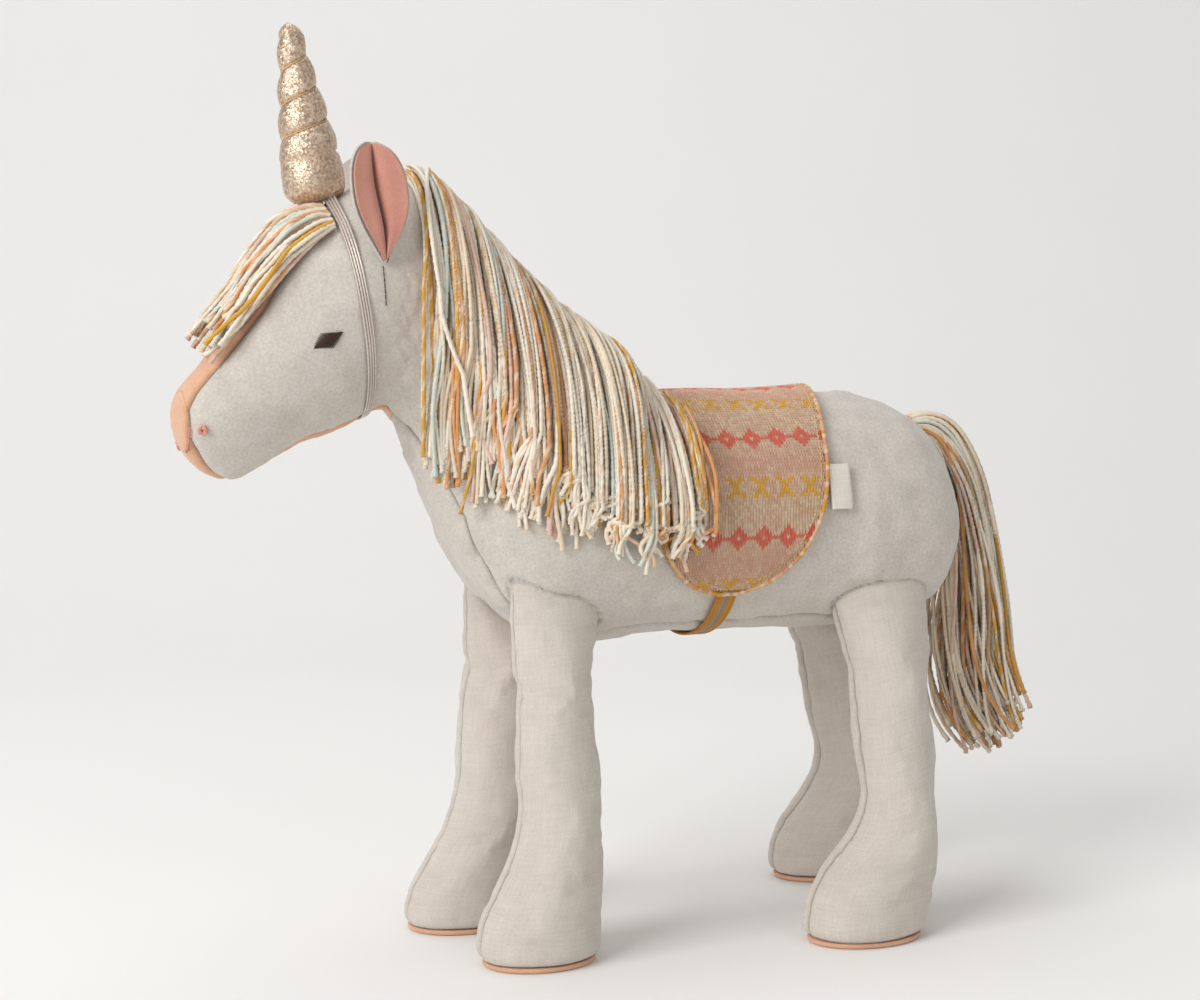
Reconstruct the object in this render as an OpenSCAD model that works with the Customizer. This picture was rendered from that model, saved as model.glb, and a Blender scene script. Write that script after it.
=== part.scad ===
/* [Body] */
// Height of the belly above the ground
belly_z = 128; // [100:1:160]
// Radius of the round barrel
barrel_r = 50; // [40:0.5:60]
// Length of the straight part of the barrel
barrel_len = 98; // [80:1:125]
// Thickness of the body cloth
cloth_t = 1.1; // [0.8:0.1:1.5]
// Half width of the belly gusset
gusset_half = 24; // [18:0.5:30]
// Half width of the head at the cheeks
cheek_half = 35; // [28:0.5:42]

/* [Legs] */
// Half thickness of a shank, side to side
shank_half = 17; // [12:0.5:19]
// Distance of a leg's middle from the middle of the body
leg_y = 33; // [28:0.5:37]
// How far a leg swings each way, degrees
leg_swing = 12; // [5:1:15]
// Thickness of a sole pad
sole_t = 2.4; // [1.5:0.1:4]

/* [Horn] */
// Height of the horn
horn_h = 70; // [50:1:90]
// Largest radius of the horn
horn_r = 12.2; // [9:0.1:15]
// Lean of the horn towards the nose, degrees
horn_lean = 9; // [0:1:18]
// Width of the elastic that holds the horn
elastic_w = 5; // [3:0.5:8]
// Turns of the thread wound round the horn
thread_turns = 3.5; // [2:0.5:5]

/* [Ears] */
// Length of an ear
ear_h = 46; // [34:1:56]
// Half width of an ear
ear_half = 12.5; // [9:0.5:15]

/* [Yarn] */
// Thickness of the mane on the neck
mane_t = 8; // [5:0.5:11]
// Length of the tail below its root
tail_drop = 142; // [110:1:165]
// Largest radius of the tail
tail_r = 18; // [12:0.5:21]

/* [Saddle] */
// Length of the saddle pad along the spine
saddle_len = 82; // [66:1:90]
// Drop of a flap, measured over the cloth from the spine
flap_drop = 109; // [88:1:116]
// Thickness of the knitted cover
knit_t = 1.6; // [1:0.1:2.5]
// Thickness of the backing
backing_t = 0.9; // [0.6:0.1:1.5]
// Width of the girth elastic
girth_w = 9; // [6:0.5:12]
// Width of the label tab
label_w = 9.5; // [6:0.5:12]
// Length of the label tab
label_l = 19; // [12:0.5:24]

/* [Hidden] */
LEGS = ["front_left", "front_right", "rear_left", "rear_right"];

// Clearances: between moving pieces, between pieces sewn together, and the play under the saddle
move_gap = 0.4;
sewn_gap = 0.08;
saddle_gap = 0.6;
fill_gap = 1.3;

// The barrel is a level cylinder along X, and the neck starts at its top front point
barrel_z = belly_z + barrel_r;
withers = [-1, barrel_z + barrel_r];
chest = [-1, belly_z];
barrel_end = withers[0] + barrel_len;

warm_grey = "#cdc8c1";
linen = "#d6cdc3";
peach = "#e2b896";
pink = "#dba092";
gold = "#c9ab86";
cream = "#e9dfcc";
coral = "#e0705a";
mustard = "#d9a03c";
brown = "#3b2820";
tan = "#c9a78b";

// One outline station of the body: [top x, top z, bottom x, bottom z, half width, bend].
// The bend is 1 where the cross section is an ellipse, and less where it is squarer.
// Head and throat hang on the withers point, chest and belly on the barrel's lower front point.
function head_station(tx, tz, bx, bz, share) =
    [withers[0] + tx, withers[1] + tz, withers[0] + bx, withers[1] + bz, share * cheek_half, 1];
function neck_station(tx, tz, bx, bz, grow, bend) =
    [withers[0] + tx, withers[1] + tz, chest[0] + bx, chest[1] + bz,
     cheek_half + (barrel_r - cheek_half) * grow, bend];
function rump_station(dx, drop, rise, share) =
    [barrel_end + dx, withers[1] - drop * barrel_r, barrel_end + dx, belly_z + rise * barrel_r, share * barrel_r, 1];
function barrel_station(top_x, bottom_x) = [top_x, withers[1], bottom_x, belly_z, barrel_r, 1];
BODY = [
    head_station(-189, -7, -189, -8, 0.02), head_station(-187.5, 2, -187, -17, 0.36),
    head_station(-183, 10, -183, -23, 0.52), head_station(-177, 17, -176, -28, 0.62),
    head_station(-167, 31, -166, -30, 0.70), head_station(-157, 45, -154, -23.5, 0.79),
    head_station(-147, 58, -140, -16, 0.88), head_station(-137, 69.5, -126, -11, 0.96),
    head_station(-127, 78, -114, -5.5, 1), head_station(-115, 84.5, -107, -3.5, 1),
    head_station(-102, 87, -102.5, -6, 0.96), head_station(-89, 84, -99, -11, 0.93),
    head_station(-75, 73, -95.5, -17.5, 0.95), neck_station(-61, 57.5, -92, 72.5, 0.1, 1),
    neck_station(-47, 43.5, -87.5, 62, 0.32, 0.95), neck_station(-33, 30, -81, 49, 0.6, 0.82),
    neck_station(-19, 17, -71, 32, 0.84, 0.66), neck_station(-8, 7, -56, 14, 0.96, 0.66),
    barrel_station(withers[0], chest[0] - 37), barrel_station(withers[0] + 13, withers[0] + 4),
    barrel_station(withers[0] + 34, withers[0] + 34), barrel_station(withers[0] + 66, withers[0] + 66),
    barrel_station(barrel_end, barrel_end),
    rump_station(12, 0.03, 0.01, 0.99), rump_station(23, 0.11, 0.04, 0.96), rump_station(33, 0.25, 0.10, 0.89),
    rump_station(40, 0.46, 0.21, 0.77), rump_station(44.5, 0.75, 0.39, 0.55), rump_station(46.5, 1.16, 0.78, 0.04)];
LAST = len(BODY) - 1;

// Smooth curve through a list of stations, t counts the stations
function spline(a, b, c, d, u) =
    0.5 * (2 * b + (c - a) * u + (2 * a - 5 * b + 4 * c - d) * u * u + (3 * b - a - 3 * c + d) * u * u * u);
function station(list, t) =
    let (n = len(list) - 1, i = min(n - 1, floor(t)))
    spline(list[max(0, i - 1)], list[i], list[i + 1], list[min(n, i + 2)], t - i);

// Where cloth turns across the body's own axis it is offset along X as well: at the nose and at the rump
function end_turn(t) = t < 4 ? t / 4 - 1 : max(0, t - LAST + 4) / 4;

// Point of the body at station t, at phi degrees from the top towards the left side, off mm outside the cloth
function bent(value, bend) = sign(value) * pow(abs(value), bend);
function body_point(t, phi, off) =
    let (s = station(BODY, t), half = [s[0] - s[2], s[1] - s[3]] / 2, reach = max(0.5, norm(half)),
         grow = bent(cos(phi), s[5]) * max(0.1, reach + off) / reach)
    [(s[0] + s[2]) / 2 + half[0] * grow + off * end_turn(t),
     -bent(sin(phi), s[5]) * max(0.3, s[4] + off),
     (s[1] + s[3]) / 2 + half[1] * grow];
function body_half_width(t) = station(BODY, t)[4];

// Angle that a strip of the given half width takes at station t
function strip_angle(t, half) = asin(pow(min(0.98, half / body_half_width(t)), 1 / station(BODY, t)[5]));

// Half widths of the strips between the two side panels, over the top and underneath
FACE_STRIP = [[0, 13.5], [3, 13.5], [4, 16], [5, 17.5], [6, 15], [7, 9], [7.8, 2.5], [8.4, 0.1], [LAST, 0.1]];
UNDER_STRIP = [[1.2, 13.3], [2, 12], [3, 6], [3.8, 1.2], [4.6, 1.5], [5.5, 8], [7, 9], [9, 8], [10.2, 4],
    [13, gusset_half * 0.67], [15, gusset_half], [25, gusset_half], [27, gusset_half * 0.55], [LAST, 0.5]];
face_end = 7.8;
nose_end = 1.3;
chin_end = 3.8;
jaw_start = 4.6;
jaw_end = 10.2;
function sewn_angle(t) = sewn_gap / 2 / body_half_width(t) * 180 / PI;
function over_angle(t) = strip_angle(t, lookup(t, FACE_STRIP));
function under_angle(t) = strip_angle(t, lookup(t, UNDER_STRIP));

// Triangles of a grid of points, rows times cols, from index k on
function grid_faces(rows, cols, k, wrap, flip) =
    [for (i = [0 : rows - 2], j = [0 : wrap ? cols - 1 : cols - 2])
        let (a = k + i * cols + j, b = k + i * cols + (j + 1) % cols, c = a + cols, d = b + cols)
        each flip ? [[a, c, b], [b, c, d]] : [[a, b, c], [b, d, c]]];
// Triangles of the wall between two edges given as lists of indices
function wall_faces(outer, inner) =
    [for (i = [0 : len(outer) - 2])
        each [[outer[i + 1], outer[i], inner[i]], [outer[i + 1], inner[i], inner[i + 1]]]];
function closed(list) = concat(list, [list[0]]);
function reversed(list) = [for (i = [len(list) - 1 : -1 : 0]) list[i]];
function flat(list) = [for (row = list) each row];

module mesh(points, faces) polyhedron(points, [for (f = faces) [f[2], f[1], f[0]]], convexity = 8);

// Sheet of cloth between two grids of points: open on all sides, or wrapped round into a sleeve
module sheet(outer, inner, wrap = false) {
    rows = len(outer);
    cols = len(outer[0]);
    n = rows * cols;
    first = [for (j = [0 : cols - 1]) j];
    last = [for (j = [0 : cols - 1]) n - cols + j];
    left = [for (i = [0 : rows - 1]) i * cols];
    right = [for (i = [0 : rows - 1]) i * cols + cols - 1];
    top = wrap ? closed(first) : first;
    end = wrap ? closed(last) : last;
    mesh(concat(flat(outer), flat(inner)),
        concat(grid_faces(rows, cols, 0, wrap, false), grid_faces(rows, cols, n, wrap, true),
            wall_faces(top, [for (j = top) j + n]),
            wall_faces(reversed(end), [for (j = reversed(end)) j + n]),
            wrap ? [] : wall_faces(reversed(left), [for (j = reversed(left)) j + n]),
            wrap ? [] : wall_faces(right, [for (j = right) j + n])));
}

// Solid through closed rings of points, with a flat cap at each end
module loft(rings) {
    rows = len(rings);
    cols = len(rings[0]);
    n = rows * cols;
    function middle(ring) = [for (i = [0 : 2]) [for (p = ring) 1] * [for (p = ring) p[i]] / cols];
    mesh(concat(flat(rings), [middle(rings[0]), middle(rings[rows - 1])]),
        concat(grid_faces(rows, cols, 0, true, false),
            [for (j = [0 : cols - 1]) [(j + 1) % cols, j, n]],
            [for (j = [0 : cols - 1]) [n - cols + j, n - cols + (j + 1) % cols, n + 1]]));
}

// Cap of cloth over an end: the first ring is closed
module cap_sheet(outer, inner) {
    rows = len(outer);
    cols = len(outer[0]);
    n = rows * cols;
    end = closed([for (j = [0 : cols - 1]) n - cols + j]);
    mesh(concat(flat(outer), flat(inner), [outer[0][0] / 2 + outer[0][cols / 2] / 2,
            inner[0][0] / 2 + inner[0][cols / 2] / 2]),
        concat(grid_faces(rows, cols, 0, true, false), grid_faces(rows, cols, n, true, true),
            [for (j = [0 : cols - 1]) [(j + 1) % cols, j, 2 * n]],
            [for (j = [0 : cols - 1]) [n + j, n + (j + 1) % cols, 2 * n + 1]],
            wall_faces(reversed(end), [for (j = reversed(end)) j + n])));
}

// Cloth patch of the body between stations t0 and t1 and between two angles that may change along it
function patch_grid(ts, from, to, cols, off) =
    [for (i = [0 : len(ts) - 1]) [for (j = [0 : cols])
        body_point(ts[i], from[i] + (to[i] - from[i]) * j / cols, off)]];
module body_patch(ts, from, to, cols, outside, thick) {
    sheet(patch_grid(ts, from, to, cols, outside), patch_grid(ts, from, to, cols, outside - thick));
}
function steps(t0, t1, count) = [for (i = [0 : count]) t0 + (t1 - t0) * i / count];

side_steps = concat([nose_end, 1.6, 2], [for (t = [3 : LAST - 2]) t], [LAST - 1, LAST - 0.4]);
module side_panel() {
    body_patch(side_steps, [for (t = side_steps) over_angle(t) + sewn_angle(t)],
        [for (t = side_steps) 180 - under_angle(t) - sewn_angle(t)], 9, 0, cloth_t);
}
module body_side_left() { color(warm_grey) side_panel(); }
module body_side_right() { color(warm_grey) mirror([0, 1, 0]) side_panel(); }

belly_steps = concat([jaw_end + 0.1], [for (t = [11 : LAST - 1]) t], [LAST - 0.4]);
module belly_gusset() {
    color(warm_grey) body_patch(belly_steps, [for (t = belly_steps) 180 - under_angle(t)],
        [for (t = belly_steps) 180 + under_angle(t)], 6, 0, cloth_t);
}

// Over the forehead, round the nose and under the chin, cut in one piece
cap_cols = 16;
module face_gusset() {
    over_steps = [nose_end, 2, 3, 4, 5, 6, 7, face_end];
    chin_steps = [nose_end, 2, 3, chin_end];
    cap_steps = [0, 0.3, 0.7, 1, nose_end];
    function cap_rings(off) = [for (t = cap_steps) [for (j = [0 : cap_cols - 1]) body_point(t, 360 * j / cap_cols, off)]];
    color(peach) resize([0, 0, 0]) union() {
        cap_sheet(cap_rings(0), cap_rings(-cloth_t));
        body_patch([for (t = over_steps) t - 0.05], [for (t = over_steps) -over_angle(t)],
            [for (t = over_steps) over_angle(t)], 6, 0, cloth_t);
        body_patch([for (t = chin_steps) t - 0.05], [for (t = chin_steps) 180 - under_angle(t)],
            [for (t = chin_steps) 180 + under_angle(t)], 4, 0, cloth_t);
    }
}

jaw_steps = concat([jaw_start], [for (t = [5 : 10]) t], [jaw_end - 0.02]);
module jaw_gusset() {
    color(peach) body_patch(jaw_steps, [for (t = jaw_steps) 180 - under_angle(t)],
        [for (t = jaw_steps) 180 + under_angle(t)], 4, 0, cloth_t);
}

fill_sides = 20;
module body_filling() {
    fill_steps = concat([0.1, 0.4], [for (t = [1 : LAST - 1]) t], [LAST - 0.3]);
    color("ivory") loft([for (t = fill_steps) [for (j = [0 : fill_sides - 1])
        body_point(t, 360 * j / fill_sides, -cloth_t - fill_gap)]]);
}

// Embroidery: raised blocks of thread on the cloth
stitch_t = 0.9;
module stitch_block(t0, t1, phi0, phi1, slope = 0) {
    ts = steps(t0, t1, 4);
    body_patch(ts, [for (i = [0 : 4]) phi0 + slope * i], [for (i = [0 : 4]) phi1 + slope * i], 3,
        sewn_gap + stitch_t, stitch_t);
}
module eye() { color(brown) stitch_block(6.25, 6.95, 88.5, 96.5); }
module eye_left() { eye(); }
module eye_right() { mirror([0, 1, 0]) eye(); }
module nostril_knots() {
    color(pink) for (side = [0, 1]) mirror([0, side, 0]) stitch_block(2.15, 2.5, 96, 106);
}
module mouth_stitches() {
    color(pink) for (side = [0, 1]) mirror([0, side, 0]) for (i = [0 : 4])
        stitch_block(2.05 + 0.28 * i, 2.2 + 0.28 * i, 124 + 9 * i, 128 + 9 * i);
}

// Horn, in its own frame with the base at the origin
horn_base = body_point(7.6, 0, 0) + [0, 0, 4];
module horn_place() translate(horn_base) rotate([0, -horn_lean, 0]) children();
HORN = [[0, 0.70], [0.06, 0.98], [0.17, 1], [0.35, 0.86], [0.56, 0.68], [0.77, 0.49], [0.92, 0.38], [0.97, 0.26]];
function horn_radius(share) = lookup(share, HORN) * horn_r;
horn_cloth = 0.7;
function horn_profile(inset) = concat([[0, inset]],
    [for (p = HORN) [p[1] * horn_r - inset, inset + p[0] * (horn_h - 2 * inset)]], [[0, horn_h - inset]]);
module horn_cover() {
    color(gold) horn_place() difference() {
        rotate_extrude($fn = 36) polygon(horn_profile(0));
        rotate_extrude($fn = 36) polygon(horn_profile(horn_cloth));
    }
}
module horn_filling() {
    color("ivory") horn_place() rotate_extrude($fn = 36) polygon(horn_profile(horn_cloth + 0.2));
}
// Thread wound up the horn in its grooves
thread_r = 0.5;
module horn_thread() {
    turns = [for (i = [0 : 20 * thread_turns]) i / 20];
    function ring(turn) = let (share = 0.27 + 0.65 * turn / thread_turns,
        r = horn_radius(share) + thread_r + 0.25, z = share * horn_h)
        [for (k = [0 : 5]) let (c = r + thread_r * cos(60 * k))
            [c * cos(360 * turn), c * sin(360 * turn), z - thread_r * sin(60 * k)]];
    color(tan) horn_place() loft([for (turn = turns) ring(turn)]);
}
// Elastic from one side of the horn's base down the cheek, under the jaw and up to the other side
elastic_t = 0.9;
elastic_top = 24;
elastic_gap = 0.6;
module horn_elastic() {
    slope = elastic_w / norm(body_point(8.4, 90, 0) - body_point(7.4, 90, 0));
    function band(off) = [for (side = [0, 1]) [for (j = [0 : 32])
        body_point(7.75 + slope * side, elastic_top + (360 - 2 * elastic_top) * j / 32, off)]];
    color("silver") sheet(band(elastic_gap + elastic_t), band(elastic_gap));
}

// Ear: a folded leaf that stands at the side of the head, open to the side
ear_root = body_point(8.85, 72, 2.2);
shell_t = 1.2;
lining_t = 1;
ear_fold = 28;
EAR = [[0, 0.12], [0.12, 0.42], [0.3, 0.82], [0.5, 1], [0.68, 0.93], [0.84, 0.66], [0.95, 0.3], [1, 0.08]];
function ear_point(share, across, depth) =
    let (w = lookup(share, EAR) * ear_half * across)
    ear_root + [w * cos(ear_fold) - 4 * share, -abs(w) * sin(ear_fold) - depth + 3.5 * share, share * ear_h];
module ear_layer(depth, thick, inset) {
    rows = [for (i = [0 : 10]) inset / ear_h + i / 10 * (1 - 2 * inset / ear_h)];
    function grid(d) = [for (s = rows) [for (j = [-3 : 3]) ear_point(s, (1 - inset / ear_half) * j / 3, d)]];
    sheet(grid(depth + thick), grid(depth));
}
module ear_shell() { color(warm_grey) ear_layer(0, shell_t, 0); }
module ear_lining() { color(pink) ear_layer(shell_t + sewn_gap, lining_t, 1); }
module ear_shell_left() { ear_shell(); }
module ear_shell_right() { mirror([0, 1, 0]) ear_shell(); }
module ear_lining_left() { ear_lining(); }
module ear_lining_right() { mirror([0, 1, 0]) ear_lining(); }

// Forelock: a fringe from the front of the horn's base down over the forehead
forelock_root = 6.6;
module forelock() {
    ts = steps(forelock_root, 3.1, 7);
    function swell(i) = [3, 6, 8.5, 10, 10.5, 10, 8, 4][i];
    function grid(out) = [for (i = [0 : 7]) [for (j = [0 : 7])
        body_point(ts[7 - i], -34 + 92 * j / 7, move_gap + (out ? swell(7 - i) : 0))]];
    color(cream) sheet(grid(true), grid(false));
}

// Station whose outline line passes through the point (x, z), found by halving the interval
function side_of(t, x, z) =
    let (s = station(BODY, t)) (s[0] - s[2]) * (z - s[3]) - (s[1] - s[3]) * (x - s[2]);
function station_at(x, z, lo, hi, n) =
    n == 0 ? (lo + hi) / 2
    : let (mid = (lo + hi) / 2) side_of(mid, x, z) > 0 ? station_at(x, z, lo, mid, n - 1) : station_at(x, z, mid, hi, n - 1);
// Half width of the body at the point (x, z)
function half_width_at(x, z) =
    let (t = station_at(x, z, 8, LAST - 4, 14), s = station(BODY, t), mid = [s[0] + s[2], s[1] + s[3]] / 2,
         reach = norm([s[0] - s[2], s[1] - s[3]]) / 2, h = min(1, norm([x, z] - mid) / reach))
    s[4] * pow(1 - pow(h, 2 / s[5]), s[5] / 2);
// Height of the body's underside at (x, y), found between the bottom line and the widest place
function belly_at(x, lo = 9, hi = LAST - 4, n = 14) =
    n == 0 ? station(BODY, (lo + hi) / 2)[3]
    : let (mid = (lo + hi) / 2) station(BODY, mid)[2] > x ? belly_at(x, lo, mid, n - 1) : belly_at(x, mid, hi, n - 1);
function under_at(x, y, lo, hi, n = 10) =
    let (mid = (lo + hi) / 2)
    n == 0 ? mid : half_width_at(x, mid) < abs(y) ? under_at(x, y, mid, hi, n - 1) : under_at(x, y, lo, mid, n - 1);
function underside(x, y) = under_at(x, y, belly_at(x), widest_at(x));
// Height of the crest above x, found along the top line
function crest_at(x, lo = 9, hi = LAST - 4, n = 14) =
    n == 0 ? station(BODY, (lo + hi) / 2)[1]
    : let (mid = (lo + hi) / 2) station(BODY, mid)[0] > x ? crest_at(x, lo, mid, n - 1) : crest_at(x, mid, hi, n - 1);
// Height of the widest place above x
function widest_at(x, lo = 9, hi = LAST - 4, n = 14) =
    let (mid = (lo + hi) / 2, s = station(BODY, mid))
    n == 0 ? (s[1] + s[3]) / 2 : s[0] + s[2] > 2 * x ? widest_at(x, lo, mid, n - 1) : widest_at(x, mid, hi, n - 1);

// Mane: locks of yarn that hang down the left side, split by planes across the body so that each one lifts by itself
mane_front = withers[0] - 97;
mane_back = withers[0] + 12;
lock_count = 5;
lock_w = (mane_back - mane_front) / lock_count;
// Drop of each lock's ends, below the crest at the front and above the barrel's middle at the back
LOCK_END = [22, 12, 3, -5, -6];
saddle_reach = saddle_gap + backing_t + knit_t + 1.1;
function mane_gap(x) = move_gap
    + lookup(x - withers[0], [[-90, 0.2], [-62, 1.2], [-34, 1], [-16, saddle_reach]]);
function lock_end(x) = barrel_z + lookup((x - mane_front) / lock_w - 0.5, [for (i = [0 : 4]) [i, LOCK_END[i]]]);
// Line down the neck above x: over the crest, round to the widest place, then straight down
function lock_column(x) =
    let (first = lookup(x, [[withers[0] - 6, 4], [mane_back, 50]]), top = crest_at(x), wide = max(widest_at(x), lock_end(x) + 2), gap = mane_gap(x),
         reach = half_width_at(x, wide))
    concat([for (k = [0 : 5])
               let (a = first + (84 - first) * k / 5, z = top - (top - wide) * (1 - cos(a))) [x, half_width_at(x, z) , z, a, gap]],
           [for (u = [0.35, 1]) let (z = wide + (lock_end(x) - wide) * u) [x, max(reach, half_width_at(x, z)), z, 90, gap]]);
function lock_skin(c, thick) =
    [c[0], -c[1] - (c[4] + thick) * sin(c[3]), c[2] + (c[4] + thick) * cos(c[3])];
module mane_lock(i) {
    xs = steps(mane_front + i * lock_w + move_gap / 2, mane_front + (i + 1) * lock_w - move_gap / 2, 4);
    columns = [for (x = xs) lock_column(x)];
    swell = [0.9, 1.1, 1.15, 1, 0.75, 0.55, 0.5, 0.4];
    function grid(out) = [for (r = columns) [for (j = [0 : 7]) lock_skin(r[j], out ? mane_t * swell[j] : 0)]];
    color(cream) sheet(grid(true), grid(false));
}
module mane_lock_1() { mane_lock(0); }
module mane_lock_2() { mane_lock(1); }
module mane_lock_3() { mane_lock(2); }
module mane_lock_4() { mane_lock(3); }
module mane_lock_5() { mane_lock(4); }

// Tail: a bundle of yarn from the top of the rump. [x from its root, share of the drop, share of the radius]
TAIL = [[0.2, 0, 0.26], [7, 0, 0.33], [14, 0.025, 0.42], [20, 0.08, 0.5], [26, 0.19, 0.62], [29.5, 0.36, 0.78],
    [31.5, 0.55, 0.93], [32.5, 0.73, 1], [36, 0.88, 0.92], [45, 1, 0.5]];
tail_root = body_point(LAST - 2.5, 0, move_gap + 2);
module tail() {
    spots = [for (s = TAIL) tail_root + [s[0], 0, -s[1] * tail_drop]];
    function lean(i) = let (d = spots[min(len(spots) - 1, i + 1)] - spots[max(0, i - 1)]) atan2(d[0], -d[2]);
    function ring(i) = [for (k = [0 : 13]) let (a = 360 * k / 14, r = TAIL[i][2] * tail_r)
        spots[i] + [r * cos(a) * cos(lean(i)), -r * sin(a), r * cos(a) * sin(lean(i))]];
    color(cream) loft([for (i = [0 : len(spots) - 1]) ring(i)]);
}

// Legs. A ring: [height share or height, front x, rear x, share of the shank's half thickness].
// Heights up to foot_top are the foot's own, those above are spread up to the belly.
foot_top = 50;
FRONT_LEG = [[sole_t + 0.1, -74, -27, 1.03], [8, -75.5, -25.5, 1.08], [18, -74, -25, 1.08], [31, -68, -25, 1.05],
    [46, -61.5, -25.5, 1.02], [63, -58.5, -26.5, 1], [80, -59.3, -27.7, 1], [101, -59.5, -29.2, 1.02],
    [112, -58.5, -30, 1.02], [121, -61, -30, 0.98]];
REAR_LEG = [[sole_t + 0.1, 71.5, 122, 1.03], [8, 69.5, 124.5, 1.08], [18, 71.5, 126.5, 1.08], [28, 77.5, 127.5, 1.05],
    [38, 86.5, 128, 1.03], [48, 93.5, 128, 1], [60, 97, 127, 1], [80, 94.5, 126, 1], [101, 92, 124, 1.02],
    [112, 90.5, 123.5, 1.02], [121, 87, 124, 0.98]];
// How each leg stands: moved along X at the hip, moved along X at the foot, and foot spread outwards
STANCE = [[0, -1, 0], [2, -14, -3], [0, -9, 18], [6, 25, 18]];
hip_z = belly_z + 10;
seam_x = [[-63, -26], [81, 124.5]];
seam_half = 9;
// A wider swing needs a wider gap under the belly
leg_gap = 0.1 * leg_swing;
leg_sides = 16;
function leg_height(z) = z <= foot_top ? z : foot_top + (z - foot_top) * (belly_z - foot_top) / (128 - foot_top);
function leg_ring(i, s, inset) =
    let (z = leg_height(s[0]), low = 1 - z / hip_z, sway = STANCE[i][0] + (STANCE[i][1] - STANCE[i][0]) * low,
         a = (s[2] - s[1]) / 2 - inset, b = s[3] * shank_half - inset, mid = (s[1] + s[2]) / 2 + sway)
    [for (k = [0 : leg_sides - 1]) let (w = 360 * k / leg_sides) 
        [mid + a * cos(w), -leg_y - STANCE[i][2] * low - b * sin(w), z]];
function leg_seam(i, inset) =
    let (s = seam_x[i < 2 ? 0 : 1], a = (s[1] - s[0]) / 2 - inset, mid = (s[0] + s[1]) / 2 + STANCE[i][0])
    [for (k = [0 : leg_sides - 1]) let (w = 360 * k / leg_sides, y = -leg_y - (seam_half - inset) * sin(w),
        x = mid + a * cos(w)) [x, y, underside(x, y) - leg_gap]];
function leg_outline(i) = i < 2 ? FRONT_LEG : REAR_LEG;
module on_side(i) mirror([0, i % 2, 0]) children();
function cover_rings(i, inset) =
    concat([for (s = leg_outline(i)) leg_ring(i, s, inset)],
        [let (a = leg_ring(i, leg_outline(i)[len(leg_outline(i)) - 1], inset), b = leg_seam(i, inset))
            [for (k = [0 : leg_sides - 1]) a[k] * 0.4 + b[k] * 0.6 + [0, 0, -0.6]]],
        [leg_seam(i, inset)]);
module leg_cover(i) {
    color(linen) on_side(i) sheet(reversed(cover_rings(i, 0)), reversed(cover_rings(i, cloth_t)), true);
}
module leg_filling(i) {
    outline = leg_outline(i);
    count = len(outline);
    rings = [for (k = [0 : count - 2]) leg_ring(i, outline[k], cloth_t + 0.5)];
    color("ivory") on_side(i) loft(reversed(rings));
}
module sole_pad(i) {
    ring = leg_ring(i, leg_outline(i)[0], 0);
    color(peach) on_side(i) linear_extrude(sole_t) polygon([for (p = reversed(ring)) [p[0], p[1]]]);
}
module leg_cover_front_left() { leg_cover(0); }
module leg_cover_front_right() { leg_cover(1); }
module leg_cover_rear_left() { leg_cover(2); }
module leg_cover_rear_right() { leg_cover(3); }
module leg_filling_front_left() { leg_filling(0); }
module leg_filling_front_right() { leg_filling(1); }
module leg_filling_rear_left() { leg_filling(2); }
module leg_filling_rear_right() { leg_filling(3); }
module sole_pad_front_left() { sole_pad(0); }
module sole_pad_front_right() { sole_pad(1); }
module sole_pad_rear_left() { sole_pad(2); }
module sole_pad_rear_right() { sole_pad(3); }

// Saddle pad. Flap outline: [share of the drop from the spine, front x share, rear x share] of the spine's length
FLAP = [[0, 0, 1], [0.18, -0.01, 0.94], [0.36, -0.03, 0.88], [0.55, -0.05, 0.84], [0.7, -0.06, 0.79], [0.81, -0.04, 0.72],
    [0.9, 0.04, 0.62], [0.96, 0.14, 0.51], [1, 0.28, 0.38]];
saddle_front = withers[0] + 1.5;
flap_steps = [for (k = [-10 : 10]) sign(k) * pow(abs(k) / 10, 0.8)];
function flap_edge(share, side) = saddle_front + saddle_len * lookup(abs(share), [for (f = FLAP) [f[0], f[side]]]);
function saddle_point(x, share, r) =
    let (a = share * flap_drop / barrel_r * 180 / PI) [x, -r * sin(a), barrel_z + r * cos(a)];
function flap_grid(r) = [for (s = reversed(flap_steps)) [for (j = [0 : 8])
    saddle_point(flap_edge(s, 1) + (flap_edge(s, 2) - flap_edge(s, 1)) * j / 8, s, r)]];
backing_r = barrel_r + saddle_gap;
knit_r = backing_r + backing_t + 0.03;
module saddle_backing() { color(mustard) sheet(flap_grid(backing_r + backing_t), flap_grid(backing_r)); }
module saddle_knit() { color(tan) sheet(flap_grid(knit_r + knit_t), flap_grid(knit_r)); }
// Girth elastic under the belly, from flap to flap
girth_x = saddle_front + saddle_len * 0.33;
girth_t = 1;
module girth_elastic() {
    start = flap_drop / barrel_r * 180 / PI + 0.3;
    function grid(r) = [for (k = [14 : -1 : 0]) [for (side = [-0.5, 0.5])
        let (a = start + (360 - 2 * start) * k / 14) [girth_x + girth_w * side, -r * sin(a), barrel_z + r * cos(a)]]];
    color(mustard) sheet(grid(backing_r + girth_t), grid(backing_r));
}
// Label tab on the rear edge of the left flap, blank
label_share = 0.6;
label_t = 0.6;
module label_tab() {
    a = label_share * flap_drop / barrel_r * 180 / PI;
    color(cream) translate([flap_edge(label_share, 2) + 2.4, 0, barrel_z]) rotate([a, 0, 0])
        translate([0, -label_l / 2, backing_r + 0.6]) cube([label_w, label_l, label_t]);
}

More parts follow.
